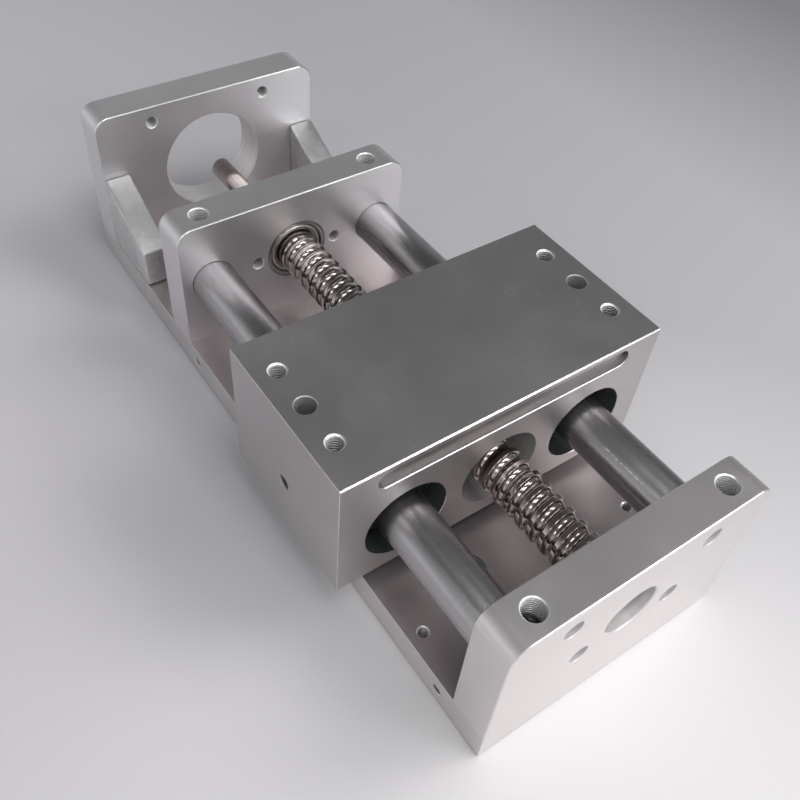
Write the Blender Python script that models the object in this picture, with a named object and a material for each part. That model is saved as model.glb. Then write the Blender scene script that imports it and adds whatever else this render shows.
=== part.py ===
"""Ball screw linear stage: a carriage on two round guide rods, driven by a ball screw between upright plates.

Metres, +Z up. +Y runs along the screw from the free end to the motor end. The origin is the centre of the
base plate's underside. A station is a distance along the stage from the free end of the base plate.
"""

import math

import bmesh
import bpy
from mathutils import Matrix, Vector

# Fits and finish
SEAT_GAP = 0.0003
RUNNING_GAP = 0.0004
SURFACE_CHAMFER = 0.0005
CUTTER_OVERRUN = 0.001

# Base plate
BASE_LENGTH = 0.255
BASE_THICKNESS = 0.011
MOUNT_BOLT_SPACING_X = 0.034
MOUNT_BOLT_STATION = 0.0435
MOUNT_BOLT_HOLE = 0.0066
MOUNT_BOLT_COUNTERBORE = 0.011
MOUNT_BOLT_COUNTERBORE_DEPTH = 0.006
COVER_HOLE_EDGE = 0.005
COVER_HOLE_STATION = 0.034
COVER_THREAD = 0.004
SIDE_HOLE_STATION = 0.020
SIDE_HOLE_BEFORE_BEARING_PLATE = 0.005
SIDE_HOLE_HEIGHT = 0.0048
SIDE_HOLE_DEPTH = 0.008

# Heights and plan of the guides and the screw
AXIS_HEIGHT = 0.036
ROD_DIAMETER = 0.016
ROD_SPACING = 0.068
ROD_END_WALL = 0.0035
ROD_SIDE_WALL = 0.004

# Upright plates
FRONT_PLATE_THICKNESS = 0.0135
BEARING_PLATE_THICKNESS = 0.014
MOTOR_PLATE_THICKNESS = 0.014
COUPLING_SPACE = 0.053
PLATE_ABOVE_AXIS = 0.024
MOTOR_PLATE_ABOVE_AXIS = 0.030
PLATE_CORNER_RADIUS = 0.006
FRONT_BORE = 0.018
FRONT_FLANGE_HOLE = 0.0066
FRONT_FLANGE_UPPER = (0.0248, 0.0148)
FRONT_FLANGE_LOWER = (0.0169, -0.0068)
BEARING_COVER_THREAD = 0.005
BEARING_COVER_SPACING = 0.032
BEARING_COVER_HOLE_DEPTH = 0.008
MOTOR_PILOT_BORE = 0.040
MOTOR_BOLT_SPACING = 0.04714
MOTOR_BOLT_THREAD = 0.005
ROD_SET_SCREW = 0.006
ROD_SET_SCREW_LENGTH = 0.008

# Gussets
GUSSET_WIDTH = 0.0103
GUSSET_LENGTH = 0.0307
GUSSET_FRONT_HEIGHT = 0.0155
GUSSET_REAR_HEIGHT = 0.030
GUSSET_CHAMFER = 0.0008

# Ball screw
LEAD = 0.005
SCREW_DIAMETER = 0.0154
SHOULDER_DIAMETER = 0.0156
SHOULDER_LENGTH = 0.0032
BALL_CIRCLE_DIAMETER = 0.0164
RACEWAY_RADIUS = 0.00175
RACEWAY_SHARES = (-1, -0.5, 0.5, 1)
FRONT_JOURNAL_STATION = 0.003
SHAFT_STEP_DIAMETER = 0.010
SHAFT_STEP_MARGIN = 0.0014
SHAFT_STEP_LENGTH = 0.0075
SHAFT_END_DIAMETER = 0.008
SHAFT_END_TO_MOTOR_PLATE = 0.006

# Deep groove bearings, one in the front plate and a pair in the bearing plate
BEARING_BORE = 0.012
BEARING_DIAMETER = 0.024
BEARING_WIDTH = 0.006
BEARING_BALLS = 7
BEARING_GROOVE_SHARE = 0.25
BEARING_RING_SHARE = 0.28
SUPPORT_BEARING_RECESS = 0.0017
BEARING_FRONT_RECESS = 0.0005
SHIELD_THICKNESS = 0.0008
SHIELD_RECESS = 0.0003
BEARING_LIP_BORE = 0.0205
CIRCLIP_THICKNESS = 0.001
CIRCLIP_WIDTH = 0.0021
CIRCLIP_GROOVE_DEPTH = 0.0007
CIRCLIP_OPENING = 50
CIRCLIP_STEPS = 18
COLLAR_LENGTH = 0.0022
LOCK_NUT_DIAMETER = 0.022
LOCK_NUT_LENGTH = 0.0075
LOCK_NUT_SLOT_WIDTH = 0.0035
LOCK_NUT_SLOT_DEPTH = 0.0018

# Carriage
CARRIAGE_STATION = 0.0555
CARRIAGE_LENGTH = 0.0585
CARRIAGE_SIDE_WALL = 0.009
CARRIAGE_BELOW_AXIS = 0.0185
CARRIAGE_ABOVE_AXIS = 0.0295
COVER_GROOVE_HEIGHT = 0.0063
COVER_GROOVE_DEPTH = 0.0016
COVER_GROOVE_TOP_MARGIN = 0.0022
COVER_GROOVE_END_MARGIN = 0.012
PAYLOAD_HOLE_EDGE = 0.0075
PAYLOAD_SPACING_Y = 0.030
PAYLOAD_THREAD = 0.006
PAYLOAD_HOLE_DEPTH = 0.015
LOCATING_HOLE = 0.0064
LOCATING_HOLE_DEPTH = 0.010
LOCATING_HOLE_CHAMFER = 0.0003
GREASE_THREAD = 0.004
GREASE_SCREW_LENGTH = 0.005

# Linear bearings, two on each rod
LINEAR_BEARING_DIAMETER = 0.028
LINEAR_BEARING_RECESS = 0.0072
LINEAR_BEARING_SPACE = 0.003
SEAL_LENGTH = 0.0016
SEAL_LIP_WIDTH = 0.0012
SEAL_LIP_RECESS = 0.0005

# Ball nut
NUT_DIAMETER = 0.028
NUT_BODY_LENGTH = 0.034
NUT_FLANGE_DIAMETER = 0.048
NUT_FLANGE_THICKNESS = 0.008
NUT_FLANGE_HEIGHT = 0.040
NUT_BOLT_CIRCLE = 0.038
NUT_BOLT_ANGLES = (30, 150, 210, 330)
CIRCUIT_TURNS = 1.5
CIRCUIT_BALL_RADIUS = 0.00125
CIRCUIT_BALL_SPACING = 2.35
WIPER_LENGTH = 0.003
WIPER_DIAMETER = 0.022

# Screws as thread, head diameter, head height and hexagon socket across its corners
BASE_SCREW = (0.006, 0.010, 0.006, 0.0058)
GUSSET_SCREW = (0.005, 0.0085, 0.005, 0.0046)
NUT_SCREW = (0.005, 0.0085, 0.005, 0.0046)
BASE_SCREW_EDGE = 0.016
SCREW_LENGTH_IN_PLATE = 0.010
NUT_SCREW_LENGTH = 0.012
SCREW_END_ROOM = 0.001
CAP_SOCKET_FLOOR = 0.45
SET_SOCKET = 0.58
SET_SOCKET_DEPTH = 0.5
SET_POINT = 0.2
COUNTERBORE_CLEARANCE = 0.0005
TAP_DRILL = 0.84
TAP_COUNTERSINK = 0.12

# Facets round a circle
WIDE_FACETS = 20
ROUND_FACETS = 16
RING_FACETS = 12
SCREW_FACETS = 12
HOLE_FACETS = 10
THREAD_FACETS = 14
CORNER_STEPS = 4
BALL_SIDES = 5
BALL_NECK_SHARE = 0.35

# Placings of a turned solid, whose own axis is +Z
UP = Matrix.Identity(4)
DOWN = Matrix.Rotation(math.pi, 4, "X")
ALONG_SCREW = Matrix.Rotation(-math.pi / 2, 4, "X")
AGAINST_SCREW = Matrix.Rotation(math.pi / 2, 4, "X")

# Worked out from the sizes above
FRONT_Y = -BASE_LENGTH / 2
BASE_WIDTH = ROD_SPACING + ROD_DIAMETER + 2 * ROD_SIDE_WALL
BASE_SCREW_SPACING = BASE_WIDTH - 2 * BASE_SCREW_EDGE
FLOOR_Z = BASE_THICKNESS + SEAT_GAP
PLATE_TOP_Z = AXIS_HEIGHT + PLATE_ABOVE_AXIS
MOTOR_PLATE_STATION = BASE_LENGTH - MOTOR_PLATE_THICKNESS
BEARING_PLATE_STATION = MOTOR_PLATE_STATION - COUPLING_SPACE - BEARING_PLATE_THICKNESS
SIDE_HOLE_STATIONS = (SIDE_HOLE_STATION, BEARING_PLATE_STATION - SIDE_HOLE_BEFORE_BEARING_PLATE)
CARRIAGE_CENTRE = CARRIAGE_STATION + CARRIAGE_LENGTH / 2
CARRIAGE_REAR = CARRIAGE_STATION + CARRIAGE_LENGTH
SUPPORT_BEARING_STATION = FRONT_PLATE_THICKNESS - BEARING_WIDTH - SUPPORT_BEARING_RECESS
SUPPORT_SEAT_STATION = SUPPORT_BEARING_STATION - SEAT_GAP
THREAD_START = SUPPORT_BEARING_STATION + BEARING_WIDTH + SEAT_GAP
FIXED_FRONT_STATION = BEARING_PLATE_STATION + BEARING_FRONT_RECESS
FIXED_REAR_STATION = FIXED_FRONT_STATION + BEARING_WIDTH + SEAT_GAP
FIXED_SEAT_END = FIXED_REAR_STATION + BEARING_WIDTH + SEAT_GAP
THREAD_END = FIXED_FRONT_STATION - SEAT_GAP
COLLAR_STATION = FIXED_SEAT_END
LOCK_NUT_STATION = COLLAR_STATION + COLLAR_LENGTH + SEAT_GAP
SHAFT_STEP_STATION = LOCK_NUT_STATION + LOCK_NUT_LENGTH + SHAFT_STEP_MARGIN
SHAFT_END_STEP_STATION = SHAFT_STEP_STATION + SHAFT_STEP_LENGTH
SHAFT_END_STATION = MOTOR_PLATE_STATION - SHAFT_END_TO_MOTOR_PLATE
NUT_FLANGE_STATION = CARRIAGE_REAR + SEAT_GAP
LINEAR_BEARING_LENGTH = CARRIAGE_LENGTH / 2 - LINEAR_BEARING_RECESS - LINEAR_BEARING_SPACE / 2
JOURNAL_RADIUS = BEARING_BORE / 2
PITCH_RADIUS = (BEARING_BORE + BEARING_DIAMETER) / 4
RING_WALL = (BEARING_DIAMETER - BEARING_BORE) / 2 * BEARING_RING_SHARE
GUSSET_X = BASE_WIDTH / 2 - GUSSET_WIDTH / 2
CARRIAGE_WIDTH = ROD_SPACING + LINEAR_BEARING_DIAMETER + 2 * CARRIAGE_SIDE_WALL
GUSSET_STATION = MOTOR_PLATE_STATION - SEAT_GAP - GUSSET_LENGTH


def clear_scene():
    for obj in list(bpy.data.objects):
        bpy.data.objects.remove(obj, do_unlink=True)


def metal(name, colour, roughness, metallic=1.0):
    """A plain surface of one piece."""
    made = bpy.data.materials.new(name)
    made.use_nodes = True
    shader = made.node_tree.nodes["Principled BSDF"]
    shader.inputs["Base Color"].default_value = (*colour, 1.0)
    shader.inputs["Roughness"].default_value = roughness
    shader.inputs["Metallic"].default_value = metallic
    return made


def at(station, x=0.0, z=AXIS_HEIGHT):
    """The point at a station, by default on the screw's axis."""
    return Vector((x, FRONT_Y + station, z))


def side_name(side):
    return "left" if side < 0 else "right"


# Solids


def revolve(bm, profile, facets, turn=UP, place=(0, 0, 0)):
    """Adds the solid that a profile sweeps about its axis.

    The profile's points are (radius, height), or (radius, height, True) for a hexagon of that corner radius.
    One that starts and ends on the axis is closed there, and any other is closed on itself as a ring.
    """
    matrix = Matrix.Translation(place) @ turn
    loops = []
    for radius, height, *hexagon in profile:
        if radius == 0:
            continue
        loop = []
        for step in range(facets):
            angle = 2 * math.pi * step / facets
            reach = radius
            if hexagon:
                from_middle = angle % (math.pi / 3) - math.pi / 6
                reach = radius * math.cos(math.pi / 6) / math.cos(from_middle)
            point = Vector((reach * math.cos(angle), reach * math.sin(angle), height))
            loop.append(bm.verts.new(matrix @ point))
        loops.append(loop)
    if profile[0][0] == 0:
        bm.faces.new(loops[0])
        bm.faces.new(loops[-1])
        pairs = zip(loops, loops[1:])
    else:
        pairs = zip(loops, loops[1:] + loops[:1])
    bridge(bm, pairs)


def bridge(bm, pairs):
    """Joins each pair of loops that have the same number of points with a belt of faces."""
    for near, far in pairs:
        for step, corner in enumerate(near):
            after = (step + 1) % len(near)
            bm.faces.new((corner, near[after], far[after], far[step]))


def prism(bm, outline, along):
    """Adds the solid between a flat outline and its copy moved along a vector."""
    near = [bm.verts.new(point) for point in outline]
    far = [bm.verts.new(Vector(point) + Vector(along)) for point in outline]
    bm.faces.new(near)
    bm.faces.new(far)
    bridge(bm, [(near, far)])


def box(bm, low, high):
    size = [b - a for a, b in zip(low, high)]
    centre = [(a + b) / 2 for a, b in zip(low, high)]
    bmesh.ops.create_cube(bm, size=1.0, matrix=Matrix.Translation(centre) @ Matrix.Diagonal((*size, 1.0)))


def chamfer(bm, width, least_angle=40):
    """Bevels every edge that is sharper than the angle in degrees."""
    bmesh.ops.recalc_face_normals(bm, faces=bm.faces)
    sharp = [edge for edge in bm.edges if edge.calc_face_angle(0) > math.radians(least_angle)]
    bmesh.ops.bevel(bm, geom=sharp, offset=width, segments=1, profile=0.5, affect="EDGES")


def cylinder_profile(diameter, length, edge=0.0):
    """A plain round bar with both rims chamfered."""
    radius = diameter / 2
    if not edge:
        return [(0, 0), (radius, 0), (radius, length), (0, length)]
    return [
        (0, 0),
        (radius - edge, 0),
        (radius, edge),
        (radius, length - edge),
        (radius - edge, length),
        (0, length),
    ]


def finish(name, bm, material, parent=None):
    """Closes a mesh and makes it an object."""
    bmesh.ops.recalc_face_normals(bm, faces=bm.faces)
    mesh = bpy.data.meshes.new(name)
    bm.to_mesh(mesh)
    bm.free()
    mesh.shade_smooth()
    mesh.set_sharp_from_angle(angle=math.radians(32))
    mesh.materials.append(material)
    obj = bpy.data.objects.new(name, mesh)
    bpy.context.scene.collection.objects.link(obj)
    if parent:
        obj.parent = parent
        obj.matrix_parent_inverse = parent.matrix_basis.inverted()
    return obj


def boolean(obj, tool_name, bm, material, operation):
    """Cuts a tool shape from an object, or joins it on."""
    tool = finish(tool_name, bm, material)
    tool.hide_render = True
    tool.display_type = "WIRE"
    modifier = obj.modifiers.new(tool_name, "BOOLEAN")
    modifier.operation = operation
    modifier.solver = "EXACT"
    modifier.object = tool
    if obj.parent:
        tool.parent = obj.parent
        tool.matrix_parent_inverse = obj.parent.matrix_basis.inverted()
    return tool


def cut(obj, tool_name, bm):
    boolean(obj, tool_name, bm, obj.data.materials[0], "DIFFERENCE")


def turned(name, profile, facets, turn, place, material, parent=None):
    bm = bmesh.new()
    revolve(bm, profile, facets, turn, place)
    return finish(name, bm, material, parent)


# Holes


def tapped(thread):
    """The drilled diameter of a tapped hole."""
    return thread * TAP_DRILL


def drill(bm, diameter, depth, turn, mouth, facets=HOLE_FACETS, countersink=0.0):
    """Adds a drill that enters at the mouth, along the turned axis, with an optional countersink."""
    radius = diameter / 2
    profile = [(0, -CUTTER_OVERRUN), (radius + countersink, -CUTTER_OVERRUN)]
    if countersink:
        profile += [(radius + countersink, 0), (radius, countersink)]
    profile += [(radius, depth), (0, depth)]
    revolve(bm, profile, facets, turn, mouth)


def tap(bm, thread, depth, turn, mouth):
    """Adds the drill of a tapped hole with a countersunk mouth."""
    drill(bm, tapped(thread), depth, turn, mouth, countersink=thread * TAP_COUNTERSINK)


def counterbore(bm, hole, wide, deep, through, turn, mouth):
    """Adds a stepped drill for a cap screw."""
    profile = [
        (0, -CUTTER_OVERRUN),
        (wide / 2, -CUTTER_OVERRUN),
        (wide / 2, deep),
        (hole / 2, deep),
        (hole / 2, through),
        (0, through),
    ]
    revolve(bm, profile, HOLE_FACETS, turn, mouth)


# Fasteners


def cap_screw(name, kind, length, turn, seat, material, parent=None):
    """A socket head cap screw whose head rests at the seat, with the shank along the turned axis."""
    thread, head, height, socket = kind
    profile = [
        (0, length),
        (thread / 2, length),
        (thread / 2, 0),
        (head / 2, 0),
        (head / 2, -height),
        (socket / 2, -height, True),
        (socket / 2, -height * CAP_SOCKET_FLOOR, True),
        (0, -height * CAP_SOCKET_FLOOR),
    ]
    return turned(name, profile, SCREW_FACETS, turn, seat, material, parent)


def set_screw(name, thread, length, turn, top, material, parent=None):
    """A headless screw with a hexagon socket, whose top is at the given point."""
    profile = [
        (0, length),
        (thread * (0.5 - SET_POINT), length),
        (thread / 2, length - thread * SET_POINT),
        (thread / 2, 0),
        (thread * SET_SOCKET / 2, 0, True),
        (thread * SET_SOCKET / 2, thread * SET_SOCKET_DEPTH, True),
        (0, thread * SET_SOCKET_DEPTH),
    ]
    return turned(name, profile, SCREW_FACETS, turn, top, material, parent)


# Thread


def raceway_corners(surface, inward):
    """The raceway's profile over one pitch of a surface, as (offset along the axis, radius)."""
    ball_circle = BALL_CIRCLE_DIAMETER / 2
    half = math.sqrt(RACEWAY_RADIUS**2 - (ball_circle - surface) ** 2)
    corners = []
    for share in RACEWAY_SHARES:
        depth = math.sqrt(RACEWAY_RADIUS**2 - (share * half) ** 2)
        radius = surface if abs(share) == 1 else ball_circle + math.copysign(depth, -inward)
        corners.append((share * half, radius))
    return corners


def helix_height(turns):
    """Distance along the axis of the raceway's centre line after some turns, counted from the origin."""
    return LEAD * turns


def raceway_tube(bm, corners, first_turn, last_turn):
    """Adds an open helical surface that repeats a profile's corners each pitch, about the screw's axis."""
    count = len(corners)
    columns = []
    for step in range(THREAD_FACETS):
        share = step / THREAD_FACETS
        angle = 2 * math.pi * share
        last = last_turn + 1 if step == 0 else last_turn
        column = []
        for turn in range(first_turn, last):
            for offset, radius in corners:
                along = helix_height(turn + share) + offset
                across = radius * math.sin(angle)
                column.append(bm.verts.new((across, along, AXIS_HEIGHT + radius * math.cos(angle))))
        columns.append(column)
    length = (last_turn - first_turn) * count
    for step, column in enumerate(columns):
        after = columns[(step + 1) % THREAD_FACETS]
        shift = count if step == THREAD_FACETS - 1 else 0
        for index in range(length - 1):
            bm.faces.new((column[index], column[index + 1], after[index + 1 + shift], after[index + shift]))


def trim(bm, low, high):
    """Cuts an open tube square at two places along the axis and closes it there."""
    for place, normal in ((low, (0, -1, 0)), (high, (0, 1, 0))):
        geometry = list(bm.verts) + list(bm.edges) + list(bm.faces)
        bmesh.ops.bisect_plane(bm, geom=geometry, plane_co=(0, place, 0), plane_no=normal, clear_outer=True)
        rim = [edge for edge in bm.edges if edge.is_boundary and abs(edge.verts[0].co.y - place) < 1e-6]
        rim = [edge for edge in rim if abs(edge.verts[1].co.y - place) < 1e-6]
        bmesh.ops.edgeloop_fill(bm, edges=rim)


def threaded_solid(corners, low, high):
    """A closed threaded bar about the screw's axis, between two places along it."""
    bm = bmesh.new()
    raceway_tube(bm, corners, math.floor(low / LEAD) - 2, math.ceil(high / LEAD) + 2)
    trim(bm, low, high)
    return bm


# Rolling elements


def ball_chain(bm, circle_radius, ball_radius, pitch_angle, first_angle, count, rise, closed):
    """Adds balls in a row round the screw's axis as one solid, each joined to the next by a narrow neck.

    The rise is how far the row climbs along the axis in each turn.
    """
    neck = BALL_NECK_SHARE * ball_radius
    shares = ((-0.92, False), (-0.5, True), (0.5, True))
    rings = []
    for ball in range(count):
        for share, round_here in shares:
            angle = first_angle + pitch_angle * ball + share * ball_radius / circle_radius
            radius = ball_radius * math.sqrt(1 - share**2) if round_here else neck
            rings.append((angle, radius))
    if not closed:
        rings.append((first_angle + pitch_angle * (count - 1) + 0.92 * ball_radius / circle_radius, neck))
    loops = []
    for angle, radius in rings:
        outward = Vector((math.sin(angle), 0, math.cos(angle)))
        centre = outward * circle_radius + Vector((0, rise * angle / (2 * math.pi), 0))
        loop = []
        for side in range(BALL_SIDES):
            spin = 2 * math.pi * side / BALL_SIDES
            spoke = math.cos(spin) * outward + Vector((0, math.sin(spin), 0))
            loop.append(bm.verts.new(centre + radius * spoke))
        loops.append(loop)
    pairs = list(zip(loops, loops[1:]))
    if closed:
        pairs.append((loops[-1], loops[0]))
    else:
        bm.faces.new(loops[0])
        bm.faces.new(loops[-1])
    bridge(bm, pairs)


# Base and plates


def make_base(material):
    bm = bmesh.new()
    box(bm, (-BASE_WIDTH / 2, FRONT_Y, 0), (BASE_WIDTH / 2, FRONT_Y + BASE_LENGTH, BASE_THICKNESS))
    chamfer(bm, SURFACE_CHAMFER)
    base = finish("base_plate", bm, material)
    holes = bmesh.new()
    for side in (-1, 1):
        for station in (MOUNT_BOLT_STATION, BASE_LENGTH - MOUNT_BOLT_STATION):
            mouth = at(station, side * MOUNT_BOLT_SPACING_X / 2, BASE_THICKNESS)
            through = BASE_THICKNESS + CUTTER_OVERRUN
            wide = MOUNT_BOLT_COUNTERBORE
            counterbore(holes, MOUNT_BOLT_HOLE, wide, MOUNT_BOLT_COUNTERBORE_DEPTH, through, DOWN, mouth)
        mouth = at(COVER_HOLE_STATION, side * (BASE_WIDTH / 2 - COVER_HOLE_EDGE), BASE_THICKNESS)
        tap(holes, COVER_THREAD, BASE_THICKNESS + CUTTER_OVERRUN, DOWN, mouth)
        for station in plate_screw_stations():
            base_screw_bore(holes, BASE_SCREW, at(station, side * BASE_SCREW_SPACING / 2, 0))
        base_screw_bore(holes, GUSSET_SCREW, gusset_screw_point(side))
    cut(base, "base_plate_holes", holes)
    edge_holes = bmesh.new()
    for side in (-1, 1):
        inward = Matrix.Rotation(-side * math.pi / 2, 4, "Y")
        for station in SIDE_HOLE_STATIONS:
            mouth = at(station, side * BASE_WIDTH / 2, SIDE_HOLE_HEIGHT)
            drill(edge_holes, tapped(COVER_THREAD), SIDE_HOLE_DEPTH, inward, mouth)
    cut(base, "base_plate_side_holes", edge_holes)


def plate_screw_stations():
    """Middles of the three upright plates' feet."""
    return (
        FRONT_PLATE_THICKNESS / 2,
        BEARING_PLATE_STATION + BEARING_PLATE_THICKNESS / 2,
        MOTOR_PLATE_STATION + MOTOR_PLATE_THICKNESS / 2,
    )


def gusset_screw_point(side):
    return at(GUSSET_STATION + GUSSET_LENGTH / 2, side * GUSSET_X, 0)


def base_screw_bore(bm, kind, mouth):
    """A stepped hole up through the base plate that hides a cap screw's head."""
    thread, head, height, _ = kind
    wide = head + 2 * COUNTERBORE_CLEARANCE
    deep = height + COUNTERBORE_CLEARANCE
    counterbore(bm, thread + 2 * SEAT_GAP, wide, deep, BASE_THICKNESS + CUTTER_OVERRUN, UP, mouth)


def plate_blank(name, station, thickness, top, material):
    """An upright plate with its top corners rounded."""
    half = BASE_WIDTH / 2
    radius = PLATE_CORNER_RADIUS
    outline = [(-half, FLOOR_Z), (half, FLOOR_Z)]
    for middle_x, first in ((half - radius, 0), (radius - half, 90)):
        for step in range(CORNER_STEPS + 1):
            angle = math.radians(first + 90 * step / CORNER_STEPS)
            outline.append((middle_x + radius * math.cos(angle), top - radius + radius * math.sin(angle)))
    bm = bmesh.new()
    prism(bm, [(x, FRONT_Y + station, z) for x, z in outline], (0, thickness, 0))
    chamfer(bm, SURFACE_CHAMFER)
    return finish(name, bm, material)


def foot_screw_holes(bm, station):
    """Tapped holes in a plate's foot for the screws that come up through the base."""
    for side in (-1, 1):
        mouth = at(station, side * BASE_SCREW_SPACING / 2, FLOOR_Z)
        drill(bm, BASE_SCREW[0] + 2 * SEAT_GAP, SCREW_LENGTH_IN_PLATE + SCREW_END_ROOM, UP, mouth)


def rod_set_screw_holes(bm, station, top):
    """Tapped holes from a plate's top edge down to the rods."""
    for side in (-1, 1):
        depth = top - AXIS_HEIGHT
        mouth = at(station, side * ROD_SPACING / 2, top)
        drill(bm, ROD_SET_SCREW + 2 * SEAT_GAP, depth, DOWN, mouth, countersink=ROD_SET_SCREW * TAP_COUNTERSINK)


def make_front_plate(material):
    plate = plate_blank("front_end_plate", 0, FRONT_PLATE_THICKNESS, PLATE_TOP_Z, material)
    bores = bmesh.new()
    seat = BEARING_DIAMETER / 2
    depth = FRONT_PLATE_THICKNESS - SUPPORT_SEAT_STATION
    profile = [
        (0, -CUTTER_OVERRUN),
        (seat, -CUTTER_OVERRUN),
        (seat, depth),
        (FRONT_BORE / 2, depth),
        (FRONT_BORE / 2, FRONT_PLATE_THICKNESS + CUTTER_OVERRUN),
        (0, FRONT_PLATE_THICKNESS + CUTTER_OVERRUN),
    ]
    revolve(bores, profile, WIDE_FACETS, AGAINST_SCREW, at(FRONT_PLATE_THICKNESS))
    for side in (-1, 1):
        mouth = at(FRONT_PLATE_THICKNESS, side * ROD_SPACING / 2)
        rod_hole = ROD_DIAMETER + 2 * SEAT_GAP
        drill(bores, rod_hole, FRONT_PLATE_THICKNESS - ROD_END_WALL, AGAINST_SCREW, mouth, WIDE_FACETS)
    cut(plate, "front_end_plate_bores", bores)
    holes = bmesh.new()
    for side in (-1, 1):
        for x, above in (FRONT_FLANGE_UPPER, FRONT_FLANGE_LOWER):
            mouth = at(0, side * x, AXIS_HEIGHT + above)
            drill(holes, FRONT_FLANGE_HOLE, FRONT_PLATE_THICKNESS + CUTTER_OVERRUN, ALONG_SCREW, mouth)
    foot_screw_holes(holes, FRONT_PLATE_THICKNESS / 2)
    cut(plate, "front_end_plate_holes", holes)
    tops = bmesh.new()
    rod_set_screw_holes(tops, FRONT_PLATE_THICKNESS / 2, PLATE_TOP_Z)
    cut(plate, "front_end_plate_set_screw_holes", tops)


def make_bearing_plate(material):
    plate = plate_blank("bearing_plate", BEARING_PLATE_STATION, BEARING_PLATE_THICKNESS, PLATE_TOP_Z, material)
    bores = bmesh.new()
    seat = BEARING_DIAMETER / 2
    depth = FIXED_SEAT_END - BEARING_PLATE_STATION
    profile = [
        (0, -CUTTER_OVERRUN),
        (seat, -CUTTER_OVERRUN),
        (seat, depth),
        (BEARING_LIP_BORE / 2, depth),
        (BEARING_LIP_BORE / 2, BEARING_PLATE_THICKNESS + CUTTER_OVERRUN),
        (0, BEARING_PLATE_THICKNESS + CUTTER_OVERRUN),
    ]
    revolve(bores, profile, WIDE_FACETS, ALONG_SCREW, at(BEARING_PLATE_STATION))
    for side in (-1, 1):
        rod_hole = ROD_DIAMETER + 2 * SEAT_GAP
        mouth = at(BEARING_PLATE_STATION, side * ROD_SPACING / 2)
        drill(bores, rod_hole, BEARING_PLATE_THICKNESS + CUTTER_OVERRUN, ALONG_SCREW, mouth, WIDE_FACETS)
    cut(plate, "bearing_plate_bores", bores)
    holes = bmesh.new()
    for side in (-1, 1):
        mouth = at(BEARING_PLATE_STATION, side * BEARING_COVER_SPACING / 2)
        tap(holes, BEARING_COVER_THREAD, BEARING_COVER_HOLE_DEPTH, ALONG_SCREW, mouth)
    foot_screw_holes(holes, BEARING_PLATE_STATION + BEARING_PLATE_THICKNESS / 2)
    cut(plate, "bearing_plate_holes", holes)
    tops = bmesh.new()
    rod_set_screw_holes(tops, BEARING_PLATE_STATION + BEARING_PLATE_THICKNESS / 2, PLATE_TOP_Z)
    cut(plate, "bearing_plate_set_screw_holes", tops)


def make_motor_plate(material):
    top = AXIS_HEIGHT + MOTOR_PLATE_ABOVE_AXIS
    plate = plate_blank("motor_plate", MOTOR_PLATE_STATION, MOTOR_PLATE_THICKNESS, top, material)
    holes = bmesh.new()
    through = MOTOR_PLATE_THICKNESS + CUTTER_OVERRUN
    drill(holes, MOTOR_PILOT_BORE, through, ALONG_SCREW, at(MOTOR_PLATE_STATION), WIDE_FACETS)
    for side in (-1, 1):
        half = MOTOR_BOLT_SPACING / 2
        mouth = at(MOTOR_PLATE_STATION, side * half, AXIS_HEIGHT + half)
        tap(holes, MOTOR_BOLT_THREAD, through, ALONG_SCREW, mouth)
    foot_screw_holes(holes, MOTOR_PLATE_STATION + MOTOR_PLATE_THICKNESS / 2)
    cut(plate, "motor_plate_holes", holes)


def make_gusset(side, material):
    """A sloping brace between the base and the motor plate, flush with the base's side."""
    inner = side * (BASE_WIDTH / 2 - GUSSET_WIDTH)
    front = FRONT_Y + GUSSET_STATION
    rear = front + GUSSET_LENGTH
    outline = [
        (inner, front, FLOOR_Z),
        (inner, rear, FLOOR_Z),
        (inner, rear, FLOOR_Z + GUSSET_REAR_HEIGHT),
        (inner, front, FLOOR_Z + GUSSET_FRONT_HEIGHT),
    ]
    bm = bmesh.new()
    prism(bm, outline, (side * GUSSET_WIDTH, 0, 0))
    chamfer(bm, GUSSET_CHAMFER, 20)
    gusset = finish("gusset_" + side_name(side), bm, material)
    hole = bmesh.new()
    mouth = gusset_screw_point(side)
    mouth.z = FLOOR_Z
    drill(hole, GUSSET_SCREW[0] + 2 * SEAT_GAP, SCREW_LENGTH_IN_PLATE + SCREW_END_ROOM, UP, mouth)
    cut(gusset, gusset.name + "_hole", hole)


# Guide rods and screw


def make_rods(material):
    start = ROD_END_WALL + SEAT_GAP
    length = BEARING_PLATE_STATION + BEARING_PLATE_THICKNESS - start
    for side in (-1, 1):
        profile = cylinder_profile(ROD_DIAMETER, length, SURFACE_CHAMFER)
        place = at(start, side * ROD_SPACING / 2)
        turned("guide_rod_" + side_name(side), profile, WIDE_FACETS, ALONG_SCREW, place, material)


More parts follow.
